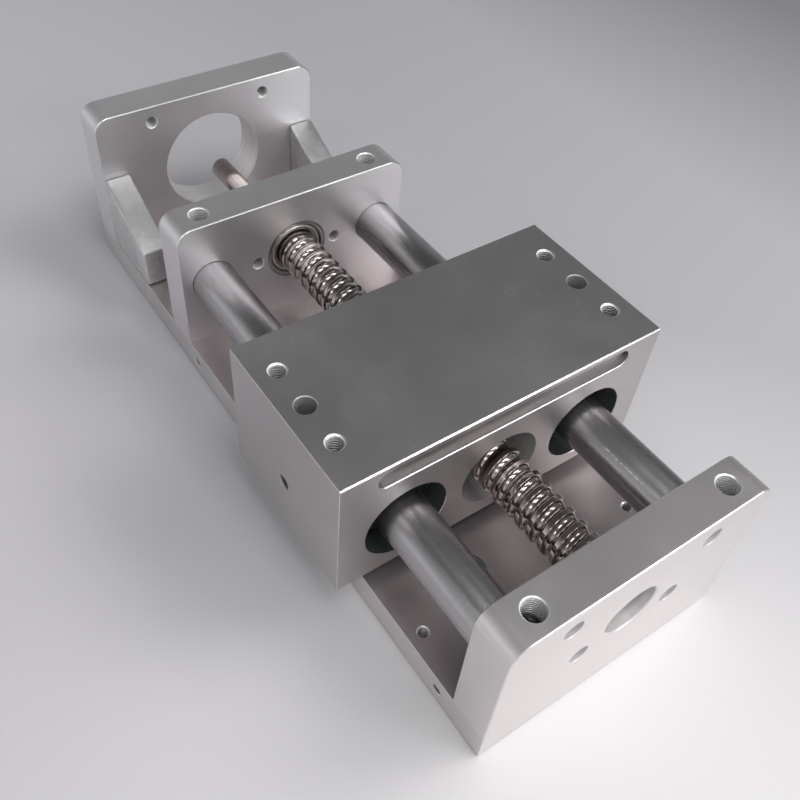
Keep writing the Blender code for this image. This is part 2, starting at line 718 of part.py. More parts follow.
def make_ball_screw(material, parent):
    """The threaded length, with the free end's journal and the stepped shaft of the motor end joined on."""
    corners = raceway_corners(SCREW_DIAMETER / 2, 1)
    bm = threaded_solid(corners, at(THREAD_START).y, at(THREAD_END - SHOULDER_LENGTH / 2).y)
    screw = finish("ball_screw", bm, material, parent)
    overlap = LEAD
    edge = SURFACE_CHAMFER
    groove = JOURNAL_RADIUS - CIRCLIP_GROOVE_DEPTH
    groove_end = SUPPORT_BEARING_STATION - SEAT_GAP / 2 - FRONT_JOURNAL_STATION
    groove_start = groove_end - CIRCLIP_THICKNESS - SEAT_GAP
    free_end = [
        (0, 0),
        (JOURNAL_RADIUS - edge, 0),
        (JOURNAL_RADIUS, edge),
        (JOURNAL_RADIUS, groove_start),
        (groove, groove_start),
        (groove, groove_end),
        (JOURNAL_RADIUS, groove_end),
        (JOURNAL_RADIUS, THREAD_START - FRONT_JOURNAL_STATION + overlap),
        (0, THREAD_START - FRONT_JOURNAL_STATION + overlap),
    ]
    tool = bmesh.new()
    revolve(tool, free_end, ROUND_FACETS, ALONG_SCREW, at(FRONT_JOURNAL_STATION))
    boolean(screw, "ball_screw_free_end", tool, material, "UNION")
    step = SHAFT_STEP_STATION - THREAD_END + overlap
    second = SHAFT_END_STEP_STATION - THREAD_END + overlap
    tip = SHAFT_END_STATION - THREAD_END + overlap
    shoulder = overlap - SHOULDER_LENGTH
    motor_end = [
        (0, shoulder),
        (SHOULDER_DIAMETER / 2, shoulder),
        (SHOULDER_DIAMETER / 2, overlap),
        (JOURNAL_RADIUS, overlap),
        (JOURNAL_RADIUS, step),
        (SHAFT_STEP_DIAMETER / 2, step),
        (SHAFT_STEP_DIAMETER / 2, second),
        (SHAFT_END_DIAMETER / 2, second),
        (SHAFT_END_DIAMETER / 2, tip - edge),
        (SHAFT_END_DIAMETER / 2 - edge, tip),
        (0, tip),
    ]
    tool = bmesh.new()
    revolve(tool, motor_end, ROUND_FACETS, ALONG_SCREW, at(THREAD_END - overlap))
    boolean(screw, "ball_screw_motor_end", tool, material, "UNION")


# Deep groove bearings


def raceway_profile(surface, back, groove, width):
    """One bearing ring: a plain back, and a surface with a shallow groove for the balls."""
    deep = surface + math.copysign(groove * BEARING_GROOVE_SHARE, back - surface)
    return [(back, 0), (surface, 0), (deep, width / 2), (surface, width), (back, width)]


def make_bearing(name, station, steel, turning):
    """One bearing's inner ring, outer ring and row of balls. The inner ring turns with the screw."""
    inner_back = JOURNAL_RADIUS + SEAT_GAP
    outer_back = BEARING_DIAMETER / 2 - SEAT_GAP
    inner_face = JOURNAL_RADIUS + RING_WALL
    outer_face = BEARING_DIAMETER / 2 - RING_WALL
    ball = min(PITCH_RADIUS - inner_face, outer_face - PITCH_RADIUS) - SEAT_GAP
    inner = raceway_profile(inner_face, inner_back, ball, BEARING_WIDTH)
    outer = raceway_profile(outer_face, outer_back, ball, BEARING_WIDTH)
    turned(name + "_inner_ring", inner, RING_FACETS, ALONG_SCREW, at(station), steel, turning)
    turned(name + "_outer_ring", outer, RING_FACETS, ALONG_SCREW, at(station), steel)
    balls = bmesh.new()
    ball_chain(balls, PITCH_RADIUS, ball, 2 * math.pi / BEARING_BALLS, 0, BEARING_BALLS, 0, True)
    bmesh.ops.translate(balls, verts=balls.verts, vec=at(station + BEARING_WIDTH / 2))
    finish(name + "_ball_cage", balls, steel)


def make_shield(name, station, material):
    inner = JOURNAL_RADIUS + RING_WALL + SEAT_GAP
    outer = BEARING_DIAMETER / 2 - RING_WALL - SEAT_GAP
    profile = [(inner, 0), (outer, 0), (outer, SHIELD_THICKNESS), (inner, SHIELD_THICKNESS)]
    turned(name, profile, ROUND_FACETS, ALONG_SCREW, at(station), material)


def make_circlip(material, parent):
    """The open ring that holds the support bearing on the screw's free end."""
    inner = JOURNAL_RADIUS - CIRCLIP_GROOVE_DEPTH + SEAT_GAP
    outer = inner + CIRCLIP_WIDTH
    front = SUPPORT_BEARING_STATION - SEAT_GAP - CIRCLIP_THICKNESS
    outline = []
    for radius, direction in ((outer, 1), (inner, -1)):
        for step in range(CIRCLIP_STEPS + 1):
            share = step / CIRCLIP_STEPS if direction > 0 else 1 - step / CIRCLIP_STEPS
            angle = math.radians(CIRCLIP_OPENING / 2 + (360 - CIRCLIP_OPENING) * share)
            outline.append(at(front, radius * math.sin(angle), AXIS_HEIGHT + radius * math.cos(angle)))
    bm = bmesh.new()
    prism(bm, outline, (0, CIRCLIP_THICKNESS, 0))
    finish("support_bearing_circlip", bm, material, parent)


def make_lock_nut(steel, material, parent):
    """The collar and the slotted nut that clamp the pair of bearings against the screw's shoulder."""
    bore = JOURNAL_RADIUS + SEAT_GAP
    wide = JOURNAL_RADIUS + RING_WALL
    collar = [(bore, 0), (wide, 0), (wide, COLLAR_LENGTH), (bore, COLLAR_LENGTH)]
    turned("bearing_spacer_collar", collar, ROUND_FACETS, ALONG_SCREW, at(COLLAR_STATION), steel, parent)
    edge = SURFACE_CHAMFER
    outer = LOCK_NUT_DIAMETER / 2
    profile = [
        (bore, 0),
        (outer - edge, 0),
        (outer, edge),
        (outer, LOCK_NUT_LENGTH - edge),
        (outer - edge, LOCK_NUT_LENGTH),
        (bore, LOCK_NUT_LENGTH),
    ]
    nut = turned("bearing_lock_nut", profile, ROUND_FACETS, ALONG_SCREW, at(LOCK_NUT_STATION), material, parent)
    slots = bmesh.new()
    start = at(LOCK_NUT_STATION).y
    floor = outer - LOCK_NUT_SLOT_DEPTH
    half = LOCK_NUT_SLOT_WIDTH / 2
    for side in (-1, 1):
        ends = sorted((side * floor, side * (outer + CUTTER_OVERRUN)))
        low_y = start - CUTTER_OVERRUN
        high_y = start + LOCK_NUT_LENGTH + CUTTER_OVERRUN
        box(slots, (ends[0], low_y, AXIS_HEIGHT - half), (ends[1], high_y, AXIS_HEIGHT + half))
        box(slots, (-half, low_y, AXIS_HEIGHT + ends[0]), (half, high_y, AXIS_HEIGHT + ends[1]))
    cut(nut, "bearing_lock_nut_slots", slots)


# Carriage


def make_carriage(material, parent):
    """The block with bores for the linear bearings and the ball nut, and the payload's holes on top."""
    half = CARRIAGE_WIDTH / 2
    bottom = AXIS_HEIGHT - CARRIAGE_BELOW_AXIS
    top = AXIS_HEIGHT + CARRIAGE_ABOVE_AXIS
    front = at(CARRIAGE_STATION).y
    bm = bmesh.new()
    box(bm, (-half, front, bottom), (half, front + CARRIAGE_LENGTH, top))
    chamfer(bm, SURFACE_CHAMFER)
    carriage = finish("carriage_block", bm, material, parent)
    bores = bmesh.new()
    through = CARRIAGE_LENGTH + CUTTER_OVERRUN
    drill(bores, NUT_DIAMETER, through, ALONG_SCREW, at(CARRIAGE_STATION), WIDE_FACETS)
    for side in (-1, 1):
        mouth = at(CARRIAGE_STATION, side * ROD_SPACING / 2)
        drill(bores, LINEAR_BEARING_DIAMETER, through, ALONG_SCREW, mouth, WIDE_FACETS)
    cut(carriage, "carriage_block_bores", bores)
    holes = bmesh.new()
    for side in (-1, 1):
        x = side * (half - PAYLOAD_HOLE_EDGE)
        for along in (-1, 1):
            mouth = at(CARRIAGE_CENTRE + along * PAYLOAD_SPACING_Y / 2, x, top)
            tap(holes, PAYLOAD_THREAD, PAYLOAD_HOLE_DEPTH, DOWN, mouth)
        mouth = at(CARRIAGE_CENTRE, x, top)
        drill(holes, LOCATING_HOLE, LOCATING_HOLE_DEPTH, DOWN, mouth, RING_FACETS, LOCATING_HOLE_CHAMFER)
    for angle in NUT_BOLT_ANGLES:
        mouth = nut_bolt_point(angle, CARRIAGE_REAR)
        drill(holes, NUT_SCREW[0] + 2 * SEAT_GAP, NUT_SCREW_LENGTH, AGAINST_SCREW, mouth)
    cut(carriage, "carriage_block_holes", holes)
    sides = bmesh.new()
    for side in (-1, 1):
        inward = Matrix.Rotation(-side * math.pi / 2, 4, "Y")
        depth = half - ROD_SPACING / 2
        drill(sides, GREASE_THREAD + 2 * SEAT_GAP, depth, inward, at(CARRIAGE_CENTRE, side * half))
    cut(carriage, "carriage_block_grease_holes", sides)
    groove = bmesh.new()
    cover_groove(groove, half, top, front)
    cut(carriage, "carriage_block_cover_groove", groove)


def cover_groove(bm, half, top, front):
    """The shallow round-ended groove along the top of the carriage's front face."""
    radius = COVER_GROOVE_HEIGHT / 2
    middle = top - COVER_GROOVE_TOP_MARGIN - radius
    reach = half - COVER_GROOVE_END_MARGIN - radius
    near = front - CUTTER_OVERRUN
    outline = []
    for side, first in ((1, -90), (-1, 90)):
        for step in range(CORNER_STEPS + 1):
            angle = math.radians(first + 180 * step / CORNER_STEPS)
            outline.append((side * reach + radius * math.cos(angle), near, middle + radius * math.sin(angle)))
    prism(bm, outline, (0, COVER_GROOVE_DEPTH + CUTTER_OVERRUN, 0))


def nut_bolt_point(angle, station):
    turn = math.radians(angle)
    reach = NUT_BOLT_CIRCLE / 2
    return at(station, reach * math.cos(turn), AXIS_HEIGHT + reach * math.sin(turn))


def make_linear_bearings(steel, rubber, parent):
    """Two ball bushings on each rod, with a rubber seal in each outer end."""
    inner = ROD_DIAMETER / 2 + RUNNING_GAP
    outer = LINEAR_BEARING_DIAMETER / 2 - SEAT_GAP
    length = LINEAR_BEARING_LENGTH - SEAL_LENGTH - SEAT_GAP
    shell = [(inner, 0), (outer, 0), (outer, length), (inner, length)]
    lip = inner + SEAL_LIP_WIDTH
    seal = [
        (inner, SEAL_LIP_RECESS),
        (lip, 0),
        (outer, 0),
        (outer, SEAL_LENGTH),
        (inner, SEAL_LENGTH),
    ]
    for side in (-1, 1):
        for end, turn, face in (
            ("front", ALONG_SCREW, CARRIAGE_STATION + LINEAR_BEARING_RECESS),
            ("rear", AGAINST_SCREW, CARRIAGE_REAR - LINEAR_BEARING_RECESS),
        ):
            label = side_name(side) + "_" + end
            inward = 1 if end == "front" else -1
            x = side * ROD_SPACING / 2
            behind = face + inward * (SEAL_LENGTH + SEAT_GAP)
            turned("linear_bearing_seal_" + label, seal, RING_FACETS, turn, at(face, x), rubber, parent)
            turned("linear_bearing_" + label, shell, RING_FACETS, turn, at(behind, x), steel, parent)


def make_ball_nut(steel, plastic, parent):
    """The flanged nut with its inner raceway, the balls that run there, and the wiper at each end."""
    body = NUT_DIAMETER / 2 - SEAT_GAP
    flange = NUT_FLANGE_DIAMETER / 2
    edge = SURFACE_CHAMFER
    end = NUT_BODY_LENGTH + SEAT_GAP
    profile = [
        (0, 0),
        (body - edge, 0),
        (body, edge),
        (body, end),
        (flange - edge, end),
        (flange, end + edge),
        (flange, end + NUT_FLANGE_THICKNESS - edge),
        (flange - edge, end + NUT_FLANGE_THICKNESS),
        (0, end + NUT_FLANGE_THICKNESS),
    ]
    start = NUT_FLANGE_STATION - end
    nut = turned("ball_nut", profile, WIDE_FACETS, ALONG_SCREW, at(start), steel, parent)
    rear = start + end + NUT_FLANGE_THICKNESS
    bore = SCREW_DIAMETER + 2 * RUNNING_GAP
    corners = raceway_corners(bore / 2, -1)
    low = at(start + WIPER_LENGTH / 2).y
    high = at(rear - WIPER_LENGTH / 2).y
    cut(nut, "ball_nut_raceway", threaded_solid(corners, low, high))
    seats = bmesh.new()
    drill(seats, WIPER_DIAMETER, WIPER_LENGTH + SEAT_GAP, ALONG_SCREW, at(start), ROUND_FACETS)
    drill(seats, WIPER_DIAMETER, WIPER_LENGTH + SEAT_GAP, AGAINST_SCREW, at(rear), ROUND_FACETS)
    cut(nut, "ball_nut_wiper_seats", seats)
    flats = bmesh.new()
    for side in (-1, 1):
        flat = AXIS_HEIGHT + side * NUT_FLANGE_HEIGHT / 2
        heights = sorted((flat, AXIS_HEIGHT + side * (flange + CUTTER_OVERRUN)))
        low = (-flange, at(start + end).y - CUTTER_OVERRUN, heights[0])
        high = (flange, at(rear).y + CUTTER_OVERRUN, heights[1])
        box(flats, low, high)
    cut(nut, "ball_nut_flats", flats)
    holes = bmesh.new()
    for angle in NUT_BOLT_ANGLES:
        mouth = nut_bolt_point(angle, rear)
        drill(holes, NUT_SCREW[0] + 2 * SEAT_GAP, NUT_FLANGE_THICKNESS + CUTTER_OVERRUN, AGAINST_SCREW, mouth)
    cut(nut, "ball_nut_holes", holes)
    make_circuit(start + WIPER_LENGTH + LEAD, steel, parent)
    wiper = [(bore / 2, 0), (WIPER_DIAMETER / 2 - SEAT_GAP, 0)]
    wiper += [(radius, WIPER_LENGTH) for radius, _ in reversed(wiper)]
    turned("nut_wiper_front", wiper, RING_FACETS, ALONG_SCREW, at(start), plastic, parent)
    turned("nut_wiper_rear", wiper, RING_FACETS, AGAINST_SCREW, at(rear), plastic, parent)


def make_circuit(station, steel, parent):
    """The balls in the raceway between screw and nut, in one row that starts behind a station."""
    first_turn = math.ceil(at(station).y / LEAD)
    circle = BALL_CIRCLE_DIAMETER / 2
    spacing = CIRCUIT_BALL_SPACING * CIRCUIT_BALL_RADIUS / circle
    count = int(CIRCUIT_TURNS * 2 * math.pi / spacing)
    bm = bmesh.new()
    ball_chain(bm, circle, CIRCUIT_BALL_RADIUS, spacing, 0, count, LEAD, False)
    bmesh.ops.translate(bm, verts=bm.verts, vec=(0, helix_height(first_turn), AXIS_HEIGHT))
    finish("ball_circuit", bm, steel, parent)


# Fasteners in place


def make_fasteners(black_steel, carriage):
    """Every screw of the stage."""
    names = ("front", "bearing", "motor")
    for label, station in zip(names, plate_screw_stations()):
        for side in (-1, 1):
            place = at(station, side * BASE_SCREW_SPACING / 2, BASE_SCREW[2] + COUNTERBORE_CLEARANCE - SEAT_GAP)
            reach = FLOOR_Z + SCREW_LENGTH_IN_PLATE - place.z
            cap_screw("base_screw_" + label + "_" + side_name(side), BASE_SCREW, reach, UP, place, black_steel)
    for side in (-1, 1):
        place = gusset_screw_point(side)
        place.z = GUSSET_SCREW[2] + COUNTERBORE_CLEARANCE - SEAT_GAP
        reach = FLOOR_Z + SCREW_LENGTH_IN_PLATE - place.z
        cap_screw("gusset_screw_" + side_name(side), GUSSET_SCREW, reach, UP, place, black_steel)
        for label, station in zip(names[:2], plate_screw_stations()[:2]):
            rod_top = AXIS_HEIGHT + ROD_DIAMETER / 2 + SEAT_GAP
            top = at(station, side * ROD_SPACING / 2, rod_top + ROD_SET_SCREW_LENGTH)
            name = "rod_set_screw_" + label + "_" + side_name(side)
            set_screw(name, ROD_SET_SCREW, ROD_SET_SCREW_LENGTH, DOWN, top, black_steel)
        inward = Matrix.Rotation(-side * math.pi / 2, 4, "Y")
        mouth = at(CARRIAGE_CENTRE, side * (CARRIAGE_WIDTH / 2 - SURFACE_CHAMFER))
        name = "grease_screw_" + side_name(side)
        set_screw(name, GREASE_THREAD, GREASE_SCREW_LENGTH, inward, mouth, black_steel, carriage)
    for index, angle in enumerate(NUT_BOLT_ANGLES, 1):
        seat = nut_bolt_point(angle, NUT_FLANGE_STATION + NUT_FLANGE_THICKNESS + SEAT_GAP)
        reach = NUT_FLANGE_THICKNESS + NUT_SCREW_LENGTH - SCREW_END_ROOM
        cap_screw(f"nut_screw_{index}", NUT_SCREW, reach, AGAINST_SCREW, seat, black_steel, carriage)


def joint_empty(name):
    """The parent of a moving group, on its joint's axis."""
    empty = bpy.data.objects.new(name, None)
    empty.location = at(CARRIAGE_CENTRE)
    bpy.context.scene.collection.objects.link(empty)
    return empty


def main():
    clear_scene()
    anodised = metal("satin_anodised_aluminium", (0.56, 0.55, 0.54), 0.42)
    cast = metal("cast_aluminium", (0.58, 0.58, 0.57), 0.62)
    ground = metal("ground_rod_steel", (0.50, 0.49, 0.48), 0.28)
    polished = metal("polished_screw_steel", (0.62, 0.60, 0.58), 0.20)
    bearing_steel = metal("bearing_steel", (0.60, 0.59, 0.57), 0.22)
    shield_steel = metal("shield_steel", (0.35, 0.35, 0.34), 0.35)
    black_steel = metal("black_oxide_steel", (0.05, 0.05, 0.05), 0.45)
    rubber = metal("black_rubber", (0.02, 0.022, 0.023), 0.60, 0.0)
    plastic = metal("dark_plastic", (0.03, 0.03, 0.03), 0.50, 0.0)
    carriage = joint_empty("carriage_slide_axis")
    turning = joint_empty("screw_spin_axis")
    make_base(anodised)
    make_front_plate(anodised)
    make_bearing_plate(anodised)
    make_motor_plate(anodised)
    make_rods(ground)
    for side in (-1, 1):
        make_gusset(side, cast)
    make_ball_screw(polished, turning)
    make_bearing("support_bearing", SUPPORT_BEARING_STATION, bearing_steel, turning)
    make_bearing("fixed_bearing_front", FIXED_FRONT_STATION, bearing_steel, turning)
    make_bearing("fixed_bearing_rear", FIXED_REAR_STATION, bearing_steel, turning)
    make_shield("fixed_bearing_shield", FIXED_FRONT_STATION + SHIELD_RECESS, shield_steel)
    make_circlip(black_steel, turning)
    make_lock_nut(bearing_steel, black_steel, turning)
    make_carriage(anodised, carriage)
    make_linear_bearings(bearing_steel, rubber, carriage)
    make_ball_nut(bearing_steel, plastic, carriage)
    make_fasteners(black_steel, carriage)


main()
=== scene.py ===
"""Looks for the ball screw linear stage: finer pieces, finishes, floor, light and camera."""

import math

import bmesh
import bpy
from mathutils import Matrix, Vector


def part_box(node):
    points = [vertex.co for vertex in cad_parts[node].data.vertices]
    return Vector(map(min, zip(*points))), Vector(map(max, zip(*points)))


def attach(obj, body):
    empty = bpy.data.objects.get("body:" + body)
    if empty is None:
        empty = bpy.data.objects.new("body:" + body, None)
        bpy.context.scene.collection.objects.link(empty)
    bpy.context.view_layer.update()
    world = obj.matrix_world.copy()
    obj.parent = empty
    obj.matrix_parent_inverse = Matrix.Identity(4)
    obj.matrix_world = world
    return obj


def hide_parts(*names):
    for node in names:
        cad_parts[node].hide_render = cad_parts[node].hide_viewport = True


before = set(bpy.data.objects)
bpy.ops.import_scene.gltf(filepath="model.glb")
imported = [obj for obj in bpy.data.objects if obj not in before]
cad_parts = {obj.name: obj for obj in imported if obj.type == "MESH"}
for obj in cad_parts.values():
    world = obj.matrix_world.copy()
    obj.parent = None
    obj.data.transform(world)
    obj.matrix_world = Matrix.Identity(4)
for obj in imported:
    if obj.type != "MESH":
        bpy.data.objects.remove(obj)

# Sizes of the stage, in metres. A station is a distance along it from its front end

SIDES = (-1, 1)
SEAT_GAP = 0.0003
AXIS_HEIGHT = 0.036
BASE_LENGTH = 0.255
BASE_WIDTH = 0.092
BASE_THICKNESS = 0.011
BASE_CUT = 0.0125
FOOT_Z = BASE_THICKNESS + SEAT_GAP
JOINT_Z = BASE_THICKNESS + 0.00002
FRONT_Y = -BASE_LENGTH / 2
MOUNT_BOLT_STATION = 0.0435
MOUNT_BOLT_X = 0.017
MOUNT_BOLT_STEPS = ((0.0055, 0.006), (0.0033, BASE_CUT))
COVER_HOLE = (0.034, 0.041)
SIDE_HOLE_STATIONS = (0.020, 0.169)
SIDE_HOLE_HEIGHT = 0.0048

PLATE_TOP = 0.060
MOTOR_PLATE_TOP = 0.066
PLATE_CORNER = 0.006
FRONT_PLATE = (0.0, 0.0135)
BEARING_PLATE = (0.174, 0.014)
MOTOR_PLATE = (0.241, 0.014)
FRONT_PLATE_HOLES = ((0.0248, 0.0508), (0.0169, 0.0292))
BEARING_COVER_X = 0.016
MOTOR_PILOT = 0.040
MOTOR_BOLT_SPACING = 0.04714
FOOT_SCREW_X = 0.030
GUSSET_SCREW = (0.22535, 0.04085)
GUSSET_HEIGHTS = (0.0155, 0.030)
ROD_X = 0.034
ROD_DIAMETER = 0.016
ROD_ENDS = (0.0038, 0.188)

CARRIAGE_START = 0.0555
CARRIAGE_LENGTH = 0.0585
CARRIAGE_CENTRE = CARRIAGE_START + CARRIAGE_LENGTH / 2
CARRIAGE_END = CARRIAGE_START + CARRIAGE_LENGTH
CARRIAGE_HALF = 0.057
CARRIAGE_BOTTOM = 0.0175
CARRIAGE_TOP = 0.0655
BUSHING_BORE = 0.028
BUSHING_RECESS = 0.0072
PAYLOAD_HOLE_X = 0.0495
PAYLOAD_HOLE_REACH = 0.015
COVER_GROOVE_DEPTH = 0.0016
NUT_BOLT_ANGLES = (30, 150, 210, 330)
NUT_BOLT_RADIUS = 0.019

LEAD = 0.005
SCREW_DIAMETER = 0.0154
BALL_CIRCLE = 0.0164
RACEWAY_RADIUS = 0.00175
LAND_ROUNDING = ((0.000223, 0.0), (0.000103, 0.00001), (0.000023, 0.00004), (-0.000027, 0.00009))
THREAD_START = 0.0121
THREAD_END = 0.1742
SHOULDER_LENGTH = 0.0032
SHOULDER_DIAMETER = 0.0156
JOURNAL = 0.012
SCREW_START = 0.003
SUPPORT_BEARING_START = 0.0058
FIXED_BEARING_START = 0.1745
SHIELD_START = 0.1748
COLLAR_START = 0.1871
LOCK_NUT_START = 0.1896
NUT_START = 0.080
NUT_FLANGE_LENGTH = 0.008
# Radii of the shield's bead, whose front faces carry a painted highlight.
SHIELD_BEAD_HIGHLIGHT = (0.0090, 0.00955)

# Cap screws as (thread, head, head's height, socket) and threads as (diameter, pitch)

CAP_M6 = (0.006, 0.010, 0.006, 0.0058)
CAP_M5 = (0.005, 0.0085, 0.005, 0.0046)
THREAD_M4 = (0.004, 0.0007)
THREAD_M5 = (0.005, 0.0008)
THREAD_M6 = (0.006, 0.001)
WIDE_THREAD_M6 = (0.00728, 0.001)
HEAD_CLEARANCE = 0.0005
ROD_SCREW_TOP = 0.0523

# Broken edges, and how finely round shapes are cut

OVERRUN = 0.001
EDGE_BREAK = 0.0002
HOLE_RIM = 0.0002
PLATE_RIM = 0.0003
CARRIAGE_RIM = 0.0004
HOLE_FACETS = 40
SCREW_FACETS = 48
RING_FACETS = 96
BORE_FACETS = 128
RACEWAY_FACETS = 72
RACEWAY_PHASE = 0.25
THREAD_PHASE = 0.1

# Light: ceiling panels over the screw, the studio's own level, and what metals mirror of it

CEILING = 0.95
PANEL_COLUMNS = ((-0.90, 0.45), (-0.05, 0.34), (0.70, 0.40))
PANEL_ROWS = (-0.43, -1.00, -1.57, -2.18)
PANEL_LENGTH = 0.36
PANEL_POWER = 1.9
SKY_LEVEL = 0.68
DARK_SKY_LEVEL = 0.03
METAL_SKY_FRONT = 0.25
METAL_SKY_BEHIND = 0.09
METAL_SKY_RIGHT = 0.24
METAL_SKY_LEFT = 0.28
METAL_SKY_FAR = 0.20

# Where the studio changes, as limits of a part of the unit direction

BEHIND_Y = (-0.25, 0.32)
RAISED_Z = (0.20, 0.58)
RIGHT_WALL_X = (0.30, 0.90)
ROOF_Z = (0.08, 0.52)
LEFT_WALL_X = (-0.80, -0.40)
LEFT_WALL_TOP_Z = (0.50, 0.80)
FAR_WALL_Y = (0.70, 0.86)
FAR_WALL_TOP_Z = (0.45, 0.70)

# Floor: its pale tone, painted lighter on its left, a painted pool of light in front of the stage and painted
# shade far off on its right

# Painted light: the floor is paler on its left, making up for the shade that falls there.
FLOOR_LEFT = (0.555, 0.54, 0.57)
FLOOR_RIGHT = (0.415, 0.41, 0.43)
FLOOR_TONE_X = (-0.12, 0.12)
# Painted pool of light: a paler floor colour round a point in front of the stage.
PAINTED_LIGHT_POOL_TONE = (0.645, 0.63, 0.635)
PAINTED_LIGHT_POOL_CENTRE = (-0.010, -0.142, 0.0)
PAINTED_LIGHT_POOL_RADIUS = 0.18
# Painted shade: the floor darkens towards black far off on its right.
PAINTED_SHADE_FLOOR_X = (0.22, 0.42)
PAINTED_SHADE_FLOOR_SHARE = 0.48

# Camera, as fitted to the stage's edges: degrees, metres, and pixels of the photograph

CAMERA_ANGLES = (-37.901, 47.796, -4.942)
CAMERA_TARGET = (-0.0071337, -0.0224185, 0.0276)
CAMERA_DISTANCE = 0.295036
PICTURE_WIDTH = 800.0
PICTURE_CENTRE = (384.845, 390.629)
FOCAL_LENGTH = 889.84
SENSOR_WIDTH = 36.0

# Placings of a turned piece, whose own axis is +Z

UP = Matrix.Identity(4)
DOWN = Matrix.Rotation(math.pi, 4, "X")
ALONG = Matrix.Rotation(-math.pi / 2, 4, "X")
AGAINST = Matrix.Rotation(math.pi / 2, 4, "X")


def sideways(side):
    """Points a turned piece into the stage from its left or right side."""
    return Matrix.Rotation(-side * math.pi / 2, 4, "Y")


def at(station, x=0.0, z=AXIS_HEIGHT):
    return Vector((x, FRONT_Y + station, z))


def side_name(side):
    return "left" if side < 0 else "right"


def foot_station(plate):
    """The middle of an upright plate's foot."""
    start, thickness = plate
    return start + thickness / 2


def screw_hole(kind):
    """The radius of the plain hole that a screw passes."""
    return kind[0] / 2 + SEAT_GAP


def nut_bolt_points(station):
    """The four places round the screw where the nut's flange is bolted."""
    for angle in NUT_BOLT_ANGLES:
        turn = math.radians(angle)
        yield at(station, NUT_BOLT_RADIUS * math.cos(turn), AXIS_HEIGHT + NUT_BOLT_RADIUS * math.sin(turn))


# Node helpers


def node(tree, kind, **settings):
    made = tree.nodes.new(kind)
    for name, value in settings.items():
        setattr(made, name, value)
    return made


def plug(tree, source, target):
    tree.links.new(source, target)


def feed(tree, value, target):
    """Joins an output to a socket, or sets the socket to a plain number, vector or colour."""
    if isinstance(value, bpy.types.NodeSocket):
        plug(tree, value, target)
    elif target.type == "RGBA":
        target.default_value = (*value, 1.0)
    else:
        target.default_value = value


def number(tree, operation, *values):
    made = node(tree, "ShaderNodeMath", operation=operation)
    for value, target in zip(values, made.inputs):
        feed(tree, value, target)
    return made.outputs[0]


def product(tree, first, *factors):
    for factor in factors:
        first = number(tree, "MULTIPLY", first, factor)
    return first


def remap(tree, value, from_low, from_high, to_low=0.0, to_high=1.0):
    """A clamped change of range."""
    made = node(tree, "ShaderNodeMapRange", clamp=True)
    for given, target in zip((value, from_low, from_high, to_low, to_high), made.inputs):
        feed(tree, given, target)
    return made.outputs["Result"]


def blend(tree, factor, first, second):
    """A colour mix of outputs or plain colours."""
    made = node(tree, "ShaderNodeMix", data_type="RGBA")
    for value, slot in ((factor, 0), (first, 6), (second, 7)):
        feed(tree, value, made.inputs[slot])
    return made.outputs[2]


def lay_over(tree, colour, mask, share, over):
    """Lays another colour over one, by a share of a mask."""
    return blend(tree, product(tree, mask, share), colour, over)


def add_share(tree, value, mask, share):
    return number(tree, "ADD", value, product(tree, mask, share))


def noise(tree, vector, scale, detail=3.0, roughness=0.5, distortion=0.0):
    made = node(tree, "ShaderNodeTexNoise")
    names = ("Vector", "Scale", "Detail", "Roughness", "Distortion")
    for name, value in zip(names, (vector, scale, detail, roughness, distortion)):
        feed(tree, value, made.inputs[name])
    return made.outputs["Fac"]


def stretched(tree, vector, scale):
    """Coordinates scaled by an output or by three plain numbers."""
    made = node(tree, "ShaderNodeVectorMath", operation="MULTIPLY")
    feed(tree, vector, made.inputs[0])
    feed(tree, scale, made.inputs[1])
    return made.outputs[0]


def parts_of(tree, vector):
    """The x, y and z of a vector."""
    split = node(tree, "ShaderNodeSeparateXYZ")
    plug(tree, vector, split.inputs[0])
    return split.outputs


def make_effect(name, build, **values):
    """A node group that reads coordinates and named values, and puts out what its builder returns."""
    tree = bpy.data.node_groups.new(name, "ShaderNodeTree")
    tree.interface.new_socket("Vector", in_out="INPUT", socket_type="NodeSocketVector")
    for label, value in values.items():
        kind = "NodeSocketVector" if isinstance(value, tuple) else "NodeSocketFloat"
        label = label.replace("_", " ")
        tree.interface.new_socket(label, in_out="INPUT", socket_type=kind).default_value = value
    given = node(tree, "NodeGroupInput").outputs
    results = build(tree, given["Vector"], given)
    for label in results:
        tree.interface.new_socket(label, in_out="OUTPUT", socket_type="NodeSocketFloat")
    final = node(tree, "NodeGroupOutput")
    for label, source in results.items():
        plug(tree, source, final.inputs[label])
    return tree


# Shared effects


def fine_grain(tree, place, given):
    """Blasted or anodised skin: fine speckle, with slow cloudy variation over the whole face."""
    grain = noise(tree, place, given["Grain Scale"], 2.0, 0.6)
    cloud = noise(tree, place, given["Cloud Scale"], 4.0, 0.55)
    return {"Speckle": remap(tree, grain, 0.3, 0.7), "Cloud": remap(tree, cloud, 0.3, 0.7), "Height": grain}


def lay_lines(tree, place, given):
    """Fine parallel lines left by a cutter or a brush, drawn out along one direction."""
    lines = noise(tree, stretched(tree, place, given["Stretch"]), 1.0, 3.0, 0.65)
    low = number(tree, "SUBTRACT", 0.5, given["Contrast"])
    high = number(tree, "ADD", 0.5, given["Contrast"])
    return {"Lines": remap(tree, lines, low, high), "Height": lines}


